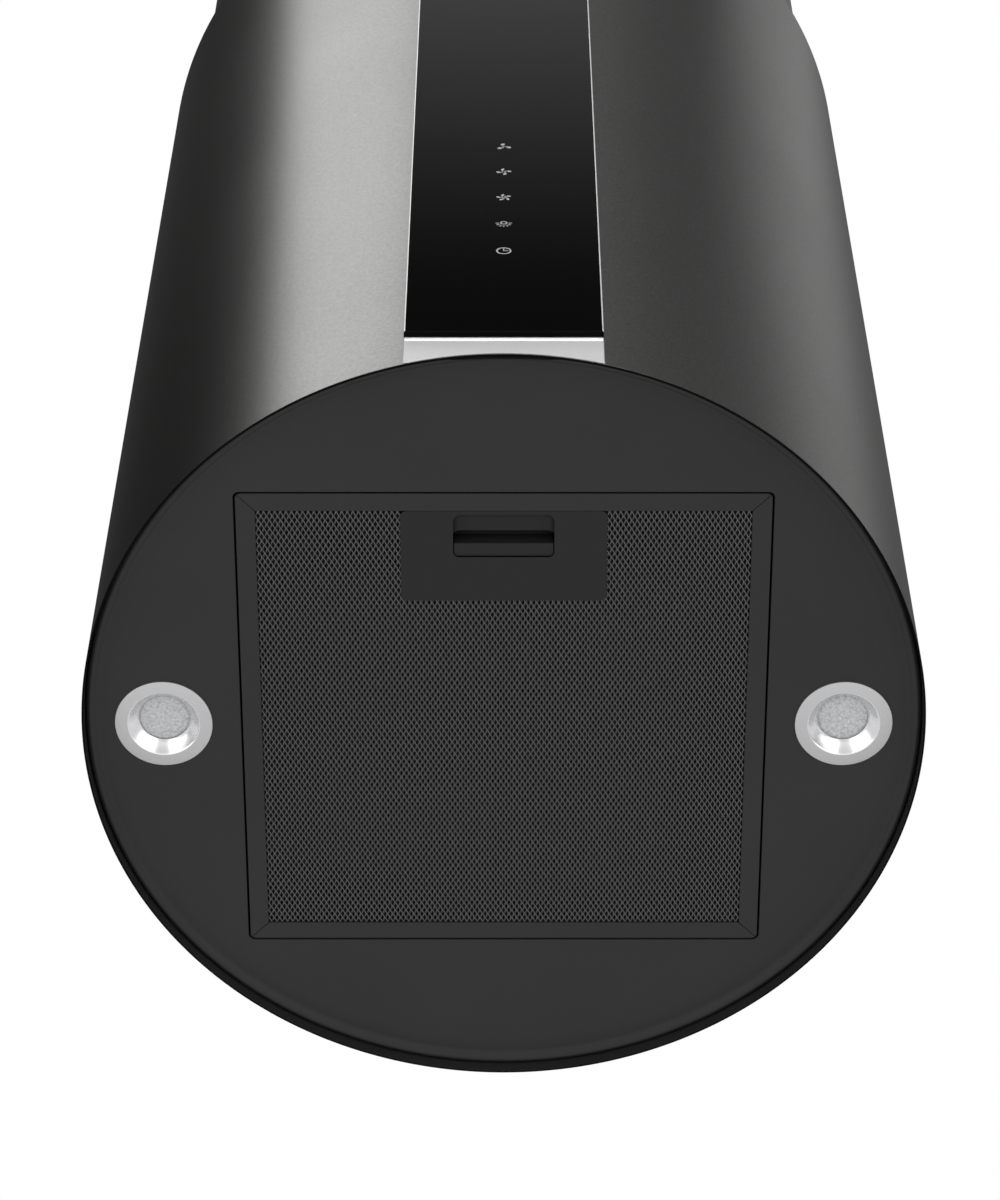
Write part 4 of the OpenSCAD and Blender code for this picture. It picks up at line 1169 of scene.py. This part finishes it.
# ---- Studio ----
# A plain pale floor far below, lit from behind like frosted glass so that it fades into the white
# around it. The hood is lit as round steel usually is: a soft light high on the left and a weak one
# on the right give its streaks, a wide one in front lifts the trim, and two low ones the underside.
bpy.ops.object.select_all(action="DESELECT")
bpy.ops.mesh.primitive_plane_add(size=400, location=(0, 0, -2.9))
floor = open_new("floor")
bpy.ops.mesh.subdivide(number_cuts=4)
bpy.ops.object.mode_set(mode="OBJECT")
pale, place = new_finish("pale_studio_floor")
show(pale, add_node(
    pale, "ShaderNodeBsdfPrincipled",
    {"Base Color": linear("#f0f0f0"), "Roughness": 0.9, "Emission Color": linear("#ffffff"),
     "Emission Strength": 0.62},
))
floor.data.materials.append(pale)

# Rectangular lights that face the hood; an azimuth is counted from the front to the right
for name, azimuth, elevation, distance, width, height, watts in (
    ("light_left", -42, 56, 2.6, 1.05, 1.5, 12),
    ("light_right_back", 100, 57, 2.8, 0.9, 1.4, 1.7),
    ("light_front", 8, 20, 4.0, 2.0, 1.2, 76),
    ("light_low_left", -52, -28, 2.6, 2.9, 1.1, 11),
    ("light_low_right", 52, -28, 2.6, 2.9, 1.1, 11),
):
    a, e = math.radians(azimuth), math.radians(elevation)
    direction = (math.sin(a) * math.cos(e), -math.cos(a) * math.cos(e), math.sin(e))
    spot = [c * distance for c in direction]
    spot[2] -= 0.6
    bpy.ops.object.light_add(
        type="AREA", location=spot,
        rotation=(math.radians(90 - elevation), 0, math.radians(azimuth))
    )
    light = bpy.context.object
    light.name = name
    light.data.shape = "RECTANGLE"
    light.data.size, light.data.size_y, light.data.energy = width, height, watts
    light.visible_camera = False

world = bpy.data.worlds.new("white_studio")
bpy.context.scene.world = world
world.use_nodes = True
world.node_tree.nodes.clear()
towards = add_node(world, "ShaderNodeTexCoord").outputs["Generated"]


def round_patch(elevation, rim_angle, core_angle, around, inside):
    """A soft round patch of the studio in front, at an elevation, with its brightness."""
    a = math.radians(elevation)
    off_centre = add_node(
        world, "ShaderNodeVectorMath", {0: towards, 1: (0, -math.cos(a), math.sin(a))},
        operation="DOT_PRODUCT",
    )
    return add_node(
        world, "ShaderNodeMapRange",
        {"Value": off_centre.outputs["Value"], "From Min": math.cos(math.radians(rim_angle)),
         "From Max": math.cos(math.radians(core_angle)), "To Min": around, "To Max": inside},
        interpolation_type="SMOOTHSTEP",
    )


# a dark flag hangs over the front, so that the glass mirrors black at its lower end
shade = round_patch(57, 12, 6, 0.13, 0.015)
# and the studio is darker on the left
side = add_node(world, "ShaderNodeSeparateXYZ", {"Vector": towards})
dusk = add_node(
    world, "ShaderNodeMapRange",
    {"Value": side.outputs["X"], "From Min": -0.5, "From Max": 0.1, "To Min": 0.1, "To Max": 1.0},
    interpolation_type="SMOOTHSTEP",
)
level = add_node(
    world, "ShaderNodeMath", {0: shade.outputs["Result"], 1: dusk.outputs["Result"]},
    operation="MULTIPLY",
)
# a soft glow high up in front, which the upper part of the glass mirrors
glow = round_patch(80, 16, 5, 0.0, 0.38)
total = add_node(
    world, "ShaderNodeMath", {0: level.outputs["Value"], 1: glow.outputs["Result"]},
    operation="ADD",
)
dim = add_node(
    world, "ShaderNodeBackground",
    {"Color": linear("#ffffff"), "Strength": total.outputs["Value"]},
)
# what is seen past the hood is plain white
white = add_node(world, "ShaderNodeBackground", {"Color": linear("#ffffff"), "Strength": 1.0})
seen = add_node(world, "ShaderNodeLightPath")
both = add_node(world, "ShaderNodeMixShader", {"Fac": seen.outputs["Is Camera Ray"]})
world.node_tree.links.new(dim.outputs["Background"], both.inputs[1])
world.node_tree.links.new(white.outputs["Background"], both.inputs[2])
add_node(world, "ShaderNodeOutputWorld", {"Surface": both.outputs["Shader"]})
bpy.context.scene.view_settings.view_transform = "Standard"
